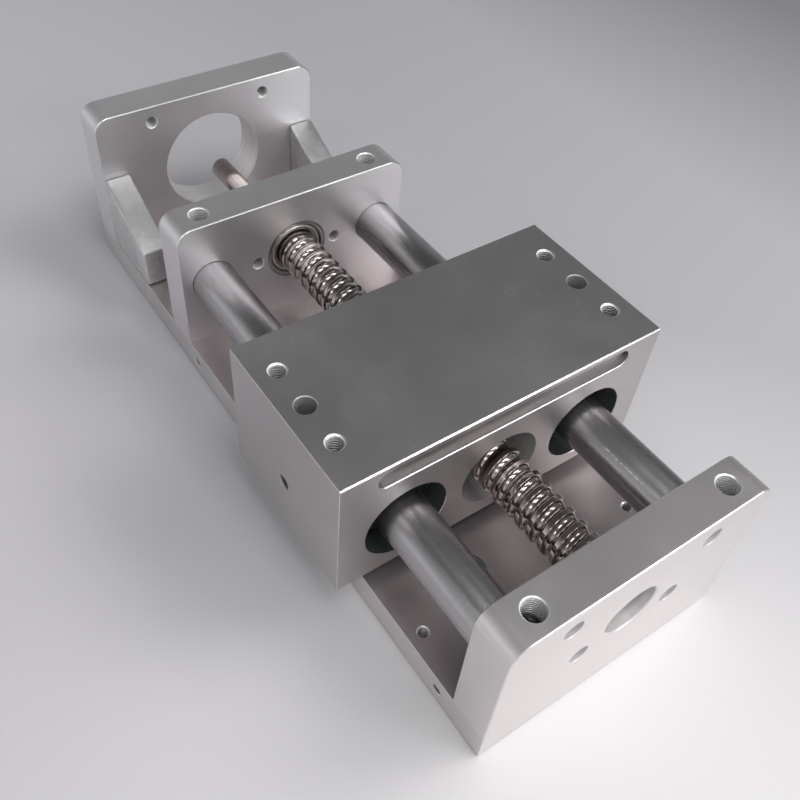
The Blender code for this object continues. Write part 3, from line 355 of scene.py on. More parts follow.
def hair_scratches(tree, place, given):
    """Sparse hair scratches: thin edges of long stretched cells, shown only in patches."""
    cells = node(tree, "ShaderNodeTexVoronoi", feature="DISTANCE_TO_EDGE")
    cells.inputs["Scale"].default_value = 6.0
    plug(tree, stretched(tree, place, given["Stretch"]), cells.inputs["Vector"])
    thin = remap(tree, cells.outputs["Distance"], 0.0, 0.02, 1.0, 0.0)
    shown = remap(tree, noise(tree, place, 70.0, 2.0), 0.56, 0.64)
    return {"Mask": product(tree, thin, shown, given["Amount"])}


def handling_marks(tree, place, given):
    """Where hands and rags have left the surface duller."""
    return {"Mask": remap(tree, noise(tree, place, given["Scale"], 5.0, 0.6, 0.4), 0.5, 0.72)}


def pin_prick_nicks(tree, place, given):
    """Sparse bright pin-pricks where the skin has been nicked."""
    cells = node(tree, "ShaderNodeTexVoronoi", feature="F1")
    plug(tree, place, cells.inputs["Vector"])
    plug(tree, given["Scale"], cells.inputs["Scale"])
    dots = remap(tree, cells.outputs["Distance"], 0.10, 0.18, 1.0, 0.0)
    chosen = node(tree, "ShaderNodeSeparateColor")
    plug(tree, cells.outputs["Color"], chosen.inputs[0])
    return {"Mask": product(tree, dots, remap(tree, chosen.outputs[0], 0.93, 0.96), given["Amount"])}


def wear_streak(tree, place, given):
    """A dashed bright line worn along a rod, at one place round it."""
    x, y, z = parts_of(tree, place)
    wander = noise(tree, stretched(tree, place, (0.0, 260.0, 0.0)), 1.0, 2.0)
    drift = product(tree, number(tree, "SUBTRACT", wander, 0.5), 0.0005)
    beside = number(tree, "SUBTRACT", x, number(tree, "ADD", given["Across"], drift))
    line = remap(tree, number(tree, "ABSOLUTE", beside), 0.0, given["Width"], 1.0, 0.0)
    dashes = remap(tree, noise(tree, stretched(tree, place, (300.0, 1500.0, 300.0)), 1.0, 2.0), 0.42, 0.56)
    begun = number(tree, "GREATER_THAN", y, given["From"])
    unfinished = number(tree, "LESS_THAN", y, given["To"])
    above = number(tree, "GREATER_THAN", z, AXIS_HEIGHT)
    return {"Mask": product(tree, line, dashes, begun, unfinished, above, given["Amount"])}


def oil_and_shade_in_grooves(tree, place, given):
    """Old oil and painted shade at the bottom of a shaft's grooves, outside its core, in patches."""
    parts = parts_of(tree, place)
    above = number(tree, "SUBTRACT", parts["Z"], given["Axis Height"])
    square = number(tree, "ADD", product(tree, above, above), number(tree, "POWER", parts["X"], 2.0))
    radius = number(tree, "SQRT", square)
    depth = remap(tree, radius, given["Bottom"], given["Top"], 1.0, 0.0)
    outside = number(tree, "GREATER_THAN", radius, given["Core"])
    patch = remap(tree, noise(tree, place, 420.0, 3.0, 0.6), 0.35, 0.6)
    return {"Mask": product(tree, depth, outside, patch)}


STREAK = {"Across": 0.0284, "Width": 0.00022, "From": -0.1015, "To": -0.0855, "Amount": 0.0}
# Where the screw's grooves are darkened: old oil and painted shade.
OIL_AND_SHADE = {"Axis_Height": AXIS_HEIGHT, "Bottom": 0.0065, "Top": 0.0077, "Core": 0.0062}

EFFECTS = {
    "grain": make_effect("Fine grain", fine_grain, Grain_Scale=2600.0, Cloud_Scale=22.0),
    "lay": make_effect("Lay lines", lay_lines, Stretch=(1.0, 1.0, 1.0), Contrast=0.2),
    "scratches": make_effect("Hair scratches", hair_scratches, Stretch=(60.0, 9.0, 60.0), Amount=0.5),
    "handling": make_effect("Handling marks", handling_marks, Scale=38.0),
    "oil_and_shade": make_effect("Oil and painted shade in grooves", oil_and_shade_in_grooves, **OIL_AND_SHADE),
    "nicks": make_effect("Pin-prick nicks", pin_prick_nicks, Scale=900.0, Amount=0.35),
    "streak": make_effect("Wear streak", wear_streak, **STREAK),
}


def effect(tree, key, vector, **values):
    """A shared effect placed in a material with its own values."""
    made = node(tree, "ShaderNodeGroup", node_tree=EFFECTS[key])
    plug(tree, vector, made.inputs["Vector"])
    for name, value in values.items():
        made.inputs[name.replace("_", " ")].default_value = value
    return made.outputs


def start_material(name, roughness, metallic=1.0, **shader_values):
    """A material with its shader, and the object coordinates that its effects read."""
    made = bpy.data.materials.new(name)
    made.use_nodes = True
    tree = made.node_tree
    shader = tree.nodes["Principled BSDF"]
    for label, value in {"Roughness": roughness, "Metallic": metallic, **shader_values}.items():
        shader.inputs[label.replace("_", " ")].default_value = value
    return made, tree, shader, node(tree, "ShaderNodeTexCoord").outputs["Object"]


def dress(tree, shader, colour, rough):
    plug(tree, colour, shader.inputs["Base Color"])
    plug(tree, rough, shader.inputs["Roughness"])


def raise_surface(tree, shader, height, distance, strength, under=None):
    """Feeds a height into the shader's normal. Returns the bump's output."""
    bump = node(tree, "ShaderNodeBump")
    bump.inputs["Distance"].default_value = distance
    bump.inputs["Strength"].default_value = strength
    plug(tree, height, bump.inputs["Height"])
    if under is not None:
        plug(tree, under, bump.inputs["Normal"])
    plug(tree, bump.outputs["Normal"], shader.inputs["Normal"])
    return bump.outputs["Normal"]


# Finishes


def satin_aluminium(name, light, dark, roughness, lay=(90.0, 1400.0, 90.0)):
    """Clear anodised aluminium: a faint cutter's lay, soft clouds, nicks and the odd hair scratch."""
    made, tree, shader, place = start_material(name, roughness, 0.95)
    grain = effect(tree, "grain", place)
    lines = effect(tree, "lay", place, Stretch=lay, Contrast=0.22)
    scratches = effect(tree, "scratches", place, Amount=0.35)
    handling = effect(tree, "handling", place)
    nicks = effect(tree, "nicks", place)
    colour = blend(tree, grain["Cloud"], dark, light)
    colour = lay_over(tree, colour, lines["Lines"], 0.12, light)
    colour = lay_over(tree, colour, grain["Speckle"], 0.10, dark)
    colour = blend(tree, scratches["Mask"], colour, (0.86, 0.86, 0.85))
    colour = blend(tree, nicks["Mask"], colour, (0.90, 0.88, 0.87))
    rough = add_share(tree, roughness - 0.03, grain["Cloud"], 0.06)
    dress(tree, shader, colour, add_share(tree, rough, handling["Mask"], 0.05))
    fine = raise_surface(tree, shader, grain["Height"], 0.000012, 0.55)
    raise_surface(tree, shader, lines["Height"], 0.000004, 0.6, fine)
    return made


def cut_aluminium(name, colour, roughness, stretch, metallic=0.6, height=0.000004):
    """Bright cut aluminium in bores, threads and broken edges."""
    made, tree, shader, place = start_material(name, roughness, metallic)
    lines = effect(tree, "lay", place, Stretch=stretch, Contrast=0.25)
    darker = tuple(0.7 * value for value in colour)
    rough = remap(tree, lines["Lines"], 0.0, 1.0, roughness + 0.08, roughness - 0.04)
    dress(tree, shader, blend(tree, lines["Lines"], darker, colour), rough)
    raise_surface(tree, shader, lines["Height"], height, 0.5)
    return made


def rough_aluminium():
    """Sawn and tumbled aluminium of the gussets: coarse pitted skin with scuffed high spots."""
    made, tree, shader, place = start_material("tumbled_aluminium", 0.5)
    grain = effect(tree, "grain", place, Grain_Scale=900.0, Cloud_Scale=60.0)
    lines = effect(tree, "lay", place, Stretch=(700.0, 60.0, 700.0), Contrast=0.3)
    coarse = noise(tree, place, 320.0, 6.0, 0.65)
    colour = blend(tree, grain["Cloud"], (0.58, 0.58, 0.58), (0.71, 0.705, 0.705))
    colour = lay_over(tree, colour, lines["Lines"], 0.25, (0.86, 0.85, 0.85))
    colour = lay_over(tree, colour, remap(tree, coarse, 0.52, 0.66), 0.55, (0.94, 0.93, 0.93))
    dress(tree, shader, colour, remap(tree, coarse, 0.35, 0.65, 0.60, 0.40))
    first = raise_surface(tree, shader, coarse, 0.00022, 0.5)
    raise_surface(tree, shader, grain["Height"], 0.00005, 0.5, first)
    return made


def ground_steel(name, streak=0.0):
    """Hardened and ground rod steel: fine rings round it, and dull streaks where the bushings have run."""
    made, tree, shader, place = start_material(name, 0.3)
    rings = effect(tree, "lay", place, Stretch=(30.0, 5200.0, 30.0), Contrast=0.2)
    streaks = effect(tree, "lay", place, Stretch=(900.0, 14.0, 900.0), Contrast=0.16)
    handling = effect(tree, "handling", place, Scale=60.0)
    worn = effect(tree, "streak", place, Amount=streak)
    colour = blend(tree, rings["Lines"], (0.41, 0.395, 0.405), (0.47, 0.45, 0.46))
    colour = lay_over(tree, colour, streaks["Lines"], 0.35, (0.34, 0.335, 0.355))
    colour = blend(tree, worn["Mask"], colour, (0.95, 0.95, 0.95))
    rough = add_share(tree, 0.26, streaks["Lines"], 0.06)
    rough = add_share(tree, rough, handling["Mask"], 0.06)
    dress(tree, shader, colour, add_share(tree, rough, worn["Mask"], 0.35))
    raise_surface(tree, shader, rings["Height"], 0.000006, 0.5)
    return made


def polished_steel():
    """Ground raceway steel of the ball screw, darker at the bottom of its groove: old oil and painted shade.
    """
    made, tree, shader, place = start_material("polished_screw_steel", 0.14)
    oil_and_shade = effect(tree, "oil_and_shade", place)
    mottled = effect(tree, "grain", place, Grain_Scale=1500.0, Cloud_Scale=160.0)
    colour = blend(tree, mottled["Cloud"], (0.43, 0.38, 0.365), (0.56, 0.50, 0.485))
    # Groove bottoms darkened: old oil and painted shade.
    colour = lay_over(tree, colour, oil_and_shade["Mask"], 0.6, (0.22, 0.19, 0.185))
    dress(tree, shader, colour, remap(tree, oil_and_shade["Mask"], 0.0, 1.0, 0.10, 0.15))
    raise_surface(tree, shader, mottled["Height"], 0.000002, 0.3)
    return made


def mottle(started, light, dark, scales, low_rough, high_rough, height, worn=None):
    """A close mottled skin: cloudy colour, specks of another roughness, and grey where it is worn."""
    made, tree, shader, place = started
    grain = effect(tree, "grain", place, Grain_Scale=scales[0], Cloud_Scale=scales[1])
    colour = blend(tree, grain["Cloud"], dark, light)
    if worn:
        colour = lay_over(tree, colour, grain["Speckle"], 0.2, worn)
    dress(tree, shader, colour, remap(tree, grain["Speckle"], 0.0, 1.0, low_rough, high_rough))
    raise_surface(tree, shader, grain["Height"], height, 0.4)
    return made


def bearing_steel(name, light, dark, roughness):
    """Ground steel of the bearings' rings, or the softer sheet of their shields."""
    started = start_material(name, roughness)
    return mottle(started, light, dark, (1900.0, 200.0), roughness - 0.03, roughness + 0.08, 0.000008)


def black_oxide():
    """Blackened screw steel, worn to grey on its high spots."""
    started = start_material("black_oxide_steel", 0.38)
    light, dark, worn = (0.075, 0.075, 0.078), (0.03, 0.03, 0.032), (0.17, 0.165, 0.16)
    return mottle(started, light, dark, (2400.0, 300.0), 0.32, 0.46, 0.00002, worn)


def dark_polymer(name, light, dark, roughness):
    """Rubber of the seals or plastic of the wipers: near black, with a slight sheen of grease."""
    started = start_material(name, roughness, 0.0, Coat_Weight=0.25, Coat_Roughness=0.2)
    return mottle(started, light, dark, (2200.0, 260.0), roughness - 0.08, roughness + 0.08, 0.00002)


# The lay of each cut surface, as scales along x, y and z

BROKEN = (420.0, 420.0, 420.0)
TAPPED = (500.0, 500.0, 500.0)
BORED = (40.0, 2600.0, 40.0)
DRILLED = (40.0, 40.0, 3200.0)
REAMED = (40.0, 40.0, 2600.0)
PLANED = (1300.0, 60.0, 1300.0)

FINISH = {
    "plate": satin_aluminium("satin_plate", (0.785, 0.75, 0.745), (0.73, 0.695, 0.69), 0.38),
    "rear_plate": satin_aluminium("satin_rear_plate", (0.80, 0.785, 0.795), (0.74, 0.73, 0.74), 0.41),
    # The base's top is a darker, pinker copy of the plates' anodising: painted shade and a painted
    # reflection. Its sides are a slightly darker copy: painted shade.
    "base": satin_aluminium("base_top_painted_shade", (0.58, 0.50, 0.505), (0.50, 0.455, 0.46), 0.42, PLANED),
    "base_side": satin_aluminium("base_side_painted_shade", (0.735, 0.71, 0.705), (0.68, 0.655, 0.65), 0.38),
    "carriage": satin_aluminium("satin_carriage", (0.555, 0.53, 0.53), (0.505, 0.485, 0.485), 0.42),
    # The groove's walls are a darker copy of the carriage's anodising: painted shade in the recess.
    "groove": satin_aluminium("groove_painted_shade", (0.37, 0.345, 0.345), (0.32, 0.30, 0.30), 0.40),
    "edge": cut_aluminium("broken_edge", (0.80, 0.795, 0.79), 0.30, BROKEN, 1.0, 0.000003),
    "bore": cut_aluminium("bored_wall", (0.80, 0.775, 0.775), 0.42, BORED),
    "nut_bore": cut_aluminium("nut_bore_wall", (0.68, 0.665, 0.655), 0.45, BORED),
    # The bushing bores' walls are near black with a green tint: painted shade deep in the bores round the
    # rods.
    "dim_bore": cut_aluminium("bushing_bore_painted_shade", (0.22, 0.245, 0.25), 0.40, BORED, 0.8),
    "drilled": cut_aluminium("drilled_wall", (0.72, 0.71, 0.70), 0.38, DRILLED, 0.6, 0.00001),
    "reamed": cut_aluminium("reamed_wall", (0.44, 0.43, 0.43), 0.42, REAMED),
    "thread": cut_aluminium("tapped_thread", (0.95, 0.94, 0.94), 0.30, TAPPED, 0.4),
    # Thread roots darker than the crests: painted shade in the thread's grooves.
    "thread_root_painted_shade": cut_aluminium("thread_root_painted_shade", (0.56, 0.55, 0.55), 0.36, TAPPED, 0.5),
    "tumbled": rough_aluminium(),
    "rod": ground_steel("ground_rod_steel"),
    "worn_rod": ground_steel("worn_rod_steel", 0.8),
    "screw": polished_steel(),
    "bearing": bearing_steel("bearing_ring_steel", (0.60, 0.59, 0.57), (0.44, 0.43, 0.42), 0.2),
    "shield": bearing_steel("shield_sheet_steel", (0.58, 0.56, 0.53), (0.46, 0.44, 0.42), 0.34),
    "black": black_oxide(),
    "rubber": dark_polymer("seal_rubber", (0.010, 0.014, 0.015), (0.006, 0.008, 0.009), 0.55),
    "plastic": dark_polymer("wiper_plastic", (0.05, 0.05, 0.048), (0.03, 0.03, 0.03), 0.5),
}

SLOT_OF = {
    **dict.fromkeys(("plate", "rear_plate", "base", "carriage"), "anodised_aluminium"),
    **dict.fromkeys(("rod", "worn_rod"), "ground_steel"),
    "tumbled": "cast_aluminium",
    "screw": "polished_steel",
    "bearing": "bearing_steel",
    "shield": "shield_steel",
    "black": "black_oxide_screws",
    "rubber": "black_rubber",
}


# Solids


def show(name, data):
    """Puts a mesh, lamp or camera into the scene."""
    made = bpy.data.objects.new(name, data)
    bpy.context.scene.collection.objects.link(made)
    return made


def bridge(bm, pairs, material=0):
    for near, far in pairs:
        for step, corner in enumerate(near):
            after = (step + 1) % len(near)
            bm.faces.new((corner, near[after], far[after], far[step])).material_index = material


def revolve(bm, profile, facets, turn=UP, place=(0, 0, 0)):
    """The solid that a profile of (radius, height) sweeps about its axis. A third value makes a hexagon."""
    matrix = Matrix.Translation(place) @ turn
    loops = []
    for radius, height, *hexagon in profile:
        if radius == 0:
            continue
        loop = []
        for step in range(facets):
            angle = 2 * math.pi * step / facets
            reach = radius
            if hexagon:
                from_middle = angle % (math.pi / 3) - math.pi / 6
                reach = radius * math.cos(math.pi / 6) / math.cos(from_middle)
            corner = Vector((reach * math.cos(angle), reach * math.sin(angle), height))
            loop.append(bm.verts.new(matrix @ corner))
        loops.append(loop)
    if profile[0][0] == 0:
        bm.faces.new(loops[0])
        bm.faces.new(loops[-1])
        bridge(bm, zip(loops, loops[1:]))
    else:
        bridge(bm, zip(loops, loops[1:] + loops[:1]))


def prism(bm, outline, along):
    near = [bm.verts.new(point) for point in outline]
    far = [bm.verts.new(Vector(point) + Vector(along)) for point in outline]
    bm.faces.new(near)
    bm.faces.new(far)
    bridge(bm, [(near, far)])


def box(bm, low, high):
    size = [b - a for a, b in zip(low, high)]
    centre = [(a + b) / 2 for a, b in zip(low, high)]
    bmesh.ops.create_cube(bm, size=1.0, matrix=Matrix.Translation(centre) @ Matrix.Diagonal((*size, 1.0)))


def break_edges(bm, width, least_angle=40, segments=1, material=1, chosen=lambda edge: True):
    """Chamfers the chosen sharp edges and gives the new faces their own finish."""
    bmesh.ops.recalc_face_normals(bm, faces=bm.faces)
    least = math.radians(least_angle)
    sharp = [edge for edge in bm.edges if edge.calc_face_angle(0) > least and chosen(edge)]
    cut = bmesh.ops.bevel(bm, geom=sharp, offset=width, segments=segments, profile=0.5, affect="EDGES")
    for face in cut["faces"]:
        face.material_index = material


def shade(mesh, angle):
    mesh.shade_smooth()
    mesh.set_sharp_from_angle(angle=math.radians(angle))


def solid(name, bm, *finishes, angle=30):
    """Closes a mesh and makes it an object with these finishes."""
    bmesh.ops.recalc_face_normals(bm, faces=bm.faces)
    mesh = bpy.data.meshes.new(name)
    bm.to_mesh(mesh)
    bm.free()
    for finish in finishes:
        mesh.materials.append(FINISH[finish])
    shade(mesh, angle)
    return show(name, mesh)


def carve(piece, cutters, angle=20):
    """Cuts every cutter from a piece. Each cut face keeps its cutter's finish."""
    for cutter in cutters:
        modifier = piece.modifiers.new(cutter.name, "BOOLEAN")
        modifier.operation = "DIFFERENCE"
        modifier.solver = "EXACT"
        modifier.material_mode = "TRANSFER"
        modifier.object = cutter
    graph = bpy.context.evaluated_depsgraph_get()
    carved = bpy.data.meshes.new_from_object(piece.evaluated_get(graph))
    piece.modifiers.clear()
    piece.data = carved
    for cutter in cutters:
        bpy.data.objects.remove(cutter, do_unlink=True)
    shade(carved, angle)


def stand_for(piece, body, finish, *nodes):
    """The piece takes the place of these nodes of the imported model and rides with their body."""
    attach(piece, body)
    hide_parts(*nodes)
    return piece


def turned_piece(name, profile, turn, place, body, finish, facets=RING_FACETS, label=None):
    """A round piece that stands for the node of this name."""
    bm = bmesh.new()
    revolve(bm, profile, facets, turn, place)
    return stand_for(solid((label or name) + "_fine", bm, finish), body, finish, name)


# Holes


def drill(bm, turn, mouth, *steps, facets=HOLE_FACETS, rim=0.0, far_rim=0.0):
    """A cutter of stepped bores, as (radius, depth). Its rims are broken at 45 degrees."""
    first = steps[0][0]
    last, depth = steps[-1]
    if rim:
        profile = [(0, -OVERRUN), (first + rim + OVERRUN, -OVERRUN), (first, rim)]
    else:
        profile = [(0, -OVERRUN), (first, -OVERRUN)]
    for (radius, reach), (narrower, _) in zip(steps, steps[1:]):
        profile += [(radius, reach), (narrower, reach)]
    if far_rim:
        past = depth + OVERRUN
        profile += [(last, depth - far_rim), (last + far_rim + OVERRUN, past), (0, past)]
    else:
        profile += [(last, depth), (0, depth)]
    revolve(bm, profile, facets, turn, mouth)


def helix(bm, corners, pitch, low, high, facets, phase, turn, place):
    """A closed bar whose corners, given as (offset, radius), climb one pitch each turn."""
    count = len(corners)
    first = math.floor(low / pitch) - 2
    last = math.ceil(high / pitch) + 2
    columns = []
    for step in range(facets):
        share = step / facets
        angle = 2 * math.pi * share
        column = []
        for lap in range(first, last + 1 if step == 0 else last):
            for offset, radius in corners:
                height = pitch * (lap + share + phase) + offset
                column.append(bm.verts.new((radius * math.cos(angle), radius * math.sin(angle), height)))
        columns.append(column)
    length = (last - first) * count
    for step, column in enumerate(columns):
        after = columns[(step + 1) % facets]
        shift = count if step == facets - 1 else 0
        for index in range(length - 1):
            bm.faces.new((column[index], column[index + 1], after[index + 1 + shift], after[index + shift]))
    for limit, normal in ((low, (0, 0, -1)), (high, (0, 0, 1))):
        whole = list(bm.verts) + list(bm.edges) + list(bm.faces)
        bmesh.ops.bisect_plane(bm, geom=whole, plane_co=(0, 0, limit), plane_no=normal, clear_outer=True)
        rim = [edge for edge in bm.edges if all(abs(vert.co.z - limit) < 1e-7 for vert in edge.verts)]
        bmesh.ops.edgeloop_fill(bm, edges=[edge for edge in rim if edge.is_boundary])
    bmesh.ops.transform(bm, matrix=Matrix.Translation(place) @ turn, verts=bm.verts)


def wound_thread(name, kind, low, high, turn, mouth):
    """The cutter of a metric thread, whose grooves take a darker colour as painted shade."""
    thread, pitch = kind
    crest = thread / 2
    root = crest - 0.54 * pitch
    outline = ((-0.40, root), (-0.32, root), (-0.07, crest), (0.07, crest), (0.32, root), (0.40, root))
    corners = [(share * pitch, radius) for share, radius in outline]
    bm = bmesh.new()
    helix(bm, corners, pitch, low, high, HOLE_FACETS, THREAD_PHASE, turn, mouth)
    return solid(name, bm, "thread_root_painted_shade")


def tapped_hole(name, kind, depth, thread_depth, turn, mouth):
    """The cutters of a tapped hole: the drill with its countersink, and the thread."""
    thread, pitch = kind
    core = thread - 1.16 * pitch
    bored = bmesh.new()
    drill(bored, turn, mouth, (core / 2, depth), rim=(thread - core) / 2)
    cutters = [solid(name + "_drill", bored, "thread")]
    return cutters + [wound_thread(name + "_thread", kind, -pitch / 3, thread_depth, turn, mouth)]


# Pieces of the frame


def meets_front_plate(edge, front):
    """Whether a base edge is the top one of its front end, which the front end plate carries on."""
    return all(vert.co.y <= front + 0.001 and vert.co.z >= 0.001 for vert in edge.verts)


def base_plate():
    low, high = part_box("base_plate")
    bm = bmesh.new()
    box(bm, low, high)
    break_edges(bm, EDGE_BREAK / 2, chosen=lambda edge: not meets_front_plate(edge, low.y))
    # The base's sides take the painted shade copy and its ends the plates' own finish. The top keeps the
    # darker, pinker painted copy.
    for face in bm.faces:
        if face.material_index == 0 and abs(face.normal.z) < 0.5:
            face.material_index = 2 if abs(face.normal.y) > 0.5 else 3
    piece = solid("base_plate_fine", bm, "base", "edge", "plate", "base_side")
    holes = bmesh.new()
    plates = (FRONT_PLATE, BEARING_PLATE, MOTOR_PLATE)
    screws = [(foot_station(plate), FOOT_SCREW_X, CAP_M6) for plate in plates] + [(*GUSSET_SCREW, CAP_M5)]
    for side in SIDES:
        for station in (MOUNT_BOLT_STATION, BASE_LENGTH - MOUNT_BOLT_STATION):
            mouth = at(station, side * MOUNT_BOLT_X, BASE_THICKNESS)
            drill(holes, DOWN, mouth, *MOUNT_BOLT_STEPS, facets=56, rim=HOLE_RIM)
        for station, x, kind in screws:
            seat = (kind[1] / 2 + HEAD_CLEARANCE, kind[2] + HEAD_CLEARANCE)
            shank = (screw_hole(kind), BASE_CUT)
            drill(holes, UP, at(station, side * x, 0), seat, shank, facets=56, rim=HOLE_RIM)
    cutters = [solid("base_holes", holes, "reamed")]
    for side in SIDES:
        name = "base_cover_" + side_name(side)
        mouth = at(COVER_HOLE[0], side * COVER_HOLE[1], BASE_THICKNESS)
        cutters += tapped_hole(name, THREAD_M4, BASE_CUT, 0.0105, DOWN, mouth)
        for index, station in enumerate(SIDE_HOLE_STATIONS):
            mouth = at(station, side * BASE_WIDTH / 2, SIDE_HOLE_HEIGHT)
            cutters += tapped_hole(f"{name}_{index}", THREAD_M4, 0.008, 0.0065, sideways(side), mouth)
    carve(piece, cutters)
    stand_for(piece, "frame", "base", "base_plate")


def plate_blank(name, plate, top, finish):
    """An upright plate with two round upper corners, and its sharp edges broken above the joint."""
    half = BASE_WIDTH / 2
    outline = [(-half, JOINT_Z), (half, JOINT_Z)]
    corner_steps = 12
    for middle_x, first in ((half - PLATE_CORNER, 0), (PLATE_CORNER - half, 90)):
        for step in range(corner_steps + 1):
            angle = math.radians(first + 90 * step / corner_steps)
            x = middle_x + PLATE_CORNER * math.cos(angle)
            outline.append((x, top - PLATE_CORNER + PLATE_CORNER * math.sin(angle)))
    start, thickness = plate
    bm = bmesh.new()
    prism(bm, [(x, FRONT_Y + start, z) for x, z in outline], (0, thickness, 0))
    break_edges(bm, PLATE_RIM, chosen=lambda edge: max(vert.co.z for vert in edge.verts) > JOINT_Z + 0.001)
    return solid(name, bm, finish, "edge")


def foot_holes(plate):
    """Cutter of the two screw holes in a plate's foot."""
    feet = bmesh.new()
    for side in SIDES:
        drill(feet, UP, at(foot_station(plate), side * FOOT_SCREW_X, FOOT_Z), (screw_hole(CAP_M6), 0.011))
    return solid("foot_holes", feet, "drilled")


def clamp_holes(plate):
    """Cutters of the tapped holes over the rods."""
    cutters = []
    for side in SIDES:
        mouth = at(foot_station(plate), side * ROD_X, PLATE_TOP)
        bored = bmesh.new()
        drill(bored, DOWN, mouth, (0.0033, PLATE_TOP - AXIS_HEIGHT), rim=0.0004)
        cutters.append(solid("clamp_drill", bored, "thread"))
        cutters.append(wound_thread("clamp_thread", WIDE_THREAD_M6, -0.0003, 0.0075, DOWN, mouth))
    return cutters


def front_end_plate():
    thickness = FRONT_PLATE[1]
    piece = plate_blank("front_end_plate_fine", FRONT_PLATE, PLATE_TOP, "plate")
    bores = bmesh.new()
    seat, through = (0.012, 0.008), (0.009, thickness)
    drill(bores, AGAINST, at(thickness), seat, through, facets=RING_FACETS, rim=0.0004, far_rim=0.0004)
    rod_hole = (ROD_DIAMETER / 2 + SEAT_GAP, thickness - 0.0035)
    holes = bmesh.new()
    for side in SIDES:
        drill(bores, AGAINST, at(thickness, side * ROD_X), rod_hole, facets=RING_FACETS, rim=0.0003)
        for x, z in FRONT_PLATE_HOLES:
            drill(holes, ALONG, at(0, side * x, z), (0.0033, thickness), rim=HOLE_RIM, far_rim=HOLE_RIM)
    cutters = [solid("front_bores", bores, "bore"), solid("front_holes", holes, "bore")]
    cutters += [foot_holes(FRONT_PLATE)] + clamp_holes(FRONT_PLATE)
    carve(piece, cutters)
    stand_for(piece, "frame", "plate", "front_end_plate")


def bearing_plate():
    start = BEARING_PLATE[0]
    piece = plate_blank("bearing_plate_fine", BEARING_PLATE, PLATE_TOP, "rear_plate")
    bores = bmesh.new()
    seat = [(0, -OVERRUN), (0.0133, -OVERRUN), (0.012, 0.0003), (0.012, 0.0131)]
    seat += [(0.01025, 0.0131), (0.01025, 0.0137), (0.0115, 0.015), (0, 0.015)]
    revolve(bores, seat, RING_FACETS, ALONG, at(start))
    rod = ROD_DIAMETER / 2 + 0.00006
    rod_hole = [(0, -OVERRUN), (rod + 0.0010, -OVERRUN), (rod, 0.0001), (rod, 0.0138)]
    rod_hole += [(rod + 0.0012, 0.015), (0, 0.015)]
    for side in SIDES:
        revolve(bores, rod_hole, RING_FACETS, ALONG, at(start, side * ROD_X))
    cutters = [solid("bearing_plate_bores", bores, "bore")]
    for side in SIDES:
        mouth = at(start, side * BEARING_COVER_X)
        cutters += tapped_hole("cover_" + side_name(side), THREAD_M5, 0.008, 0.0068, ALONG, mouth)
    cutters += [foot_holes(BEARING_PLATE)] + clamp_holes(BEARING_PLATE)
    carve(piece, cutters)
    stand_for(piece, "frame", "rear_plate", "bearing_plate")


def motor_plate():
    start, thickness = MOTOR_PLATE
    piece = plate_blank("motor_plate_fine", MOTOR_PLATE, MOTOR_PLATE_TOP, "rear_plate")
    bores = bmesh.new()
    pilot = (MOTOR_PILOT / 2, thickness)
    drill(bores, ALONG, at(start), pilot, facets=BORE_FACETS, rim=0.0005, far_rim=0.0005)
    cutters = [solid("motor_pilot", bores, "bore")]
    reach = MOTOR_BOLT_SPACING / 2
    for side in SIDES:
        mouth = at(start, side * reach, AXIS_HEIGHT + reach)
        cutters += tapped_hole("motor_" + side_name(side), THREAD_M5, 0.015, 0.0135, ALONG, mouth)
    carve(piece, cutters + [foot_holes(MOTOR_PLATE)])
    stand_for(piece, "frame", "rear_plate", "motor_plate")


def gusset(side):
    name = "gusset_" + side_name(side)
    low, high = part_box(name)
    inner = low.x if side > 0 else high.x
    front_top, back_top = (FOOT_Z + height for height in GUSSET_HEIGHTS)
    outline = [(low.y, FOOT_Z), (high.y, FOOT_Z), (high.y, back_top), (low.y, front_top)]
    bm = bmesh.new()
    prism(bm, [(inner, y, z) for y, z in outline], (side * (high.x - low.x), 0, 0))
    break_edges(bm, 0.0009, 20, 3, 0)
    piece = solid(name + "_fine", bm, "tumbled", angle=40)
    hole = bmesh.new()
    foot = Vector(((low.x + high.x) / 2, (low.y + high.y) / 2, FOOT_Z))
    drill(hole, UP, foot, (screw_hole(CAP_M5), 0.011))
    carve(piece, [solid(name + "_hole", hole, "drilled")], 40)
    stand_for(piece, "frame", "tumbled", name)


def guide_rod(side):
    start, end = ROD_ENDS
    length = end - start
    radius = ROD_DIAMETER / 2
    edge = 0.0006
    broken = [(radius - edge, 0), (radius - 0.15 * edge, 0.6 * edge), (radius, edge)]
    far = [(reach, length - height) for reach, height in reversed(broken)]
    profile = [(0, 0)] + broken + far + [(0, length)]
    finish = "worn_rod" if side > 0 else "rod"
    place = at(start, side * ROD_X)
    turned_piece("guide_rod_" + side_name(side), profile, ALONG, place, "frame", finish, BORE_FACETS)


# Screw and bearings


def raceway_corners():
    """One pitch of the ball screw: the round groove, and a land whose edges are lightly broken."""
    land = SCREW_DIAMETER / 2
    circle = BALL_CIRCLE / 2
    half = math.sqrt(RACEWAY_RADIUS**2 - (circle - land) ** 2)
    corners = [(-LEAD / 2 + 0.00002, land)]
    corners += [(-half - beyond, land - drop) for beyond, drop in LAND_ROUNDING]
    for share in (-0.97, -0.86, -0.72, -0.55, -0.36, -0.18, 0.0, 0.18, 0.36, 0.55, 0.72, 0.86, 0.97):
        depth = math.sqrt(RACEWAY_RADIUS**2 - (share * half) ** 2)
        corners.append((share * half, circle - depth))
    return corners + [(half + beyond, land - drop) for beyond, drop in reversed(LAND_ROUNDING)]


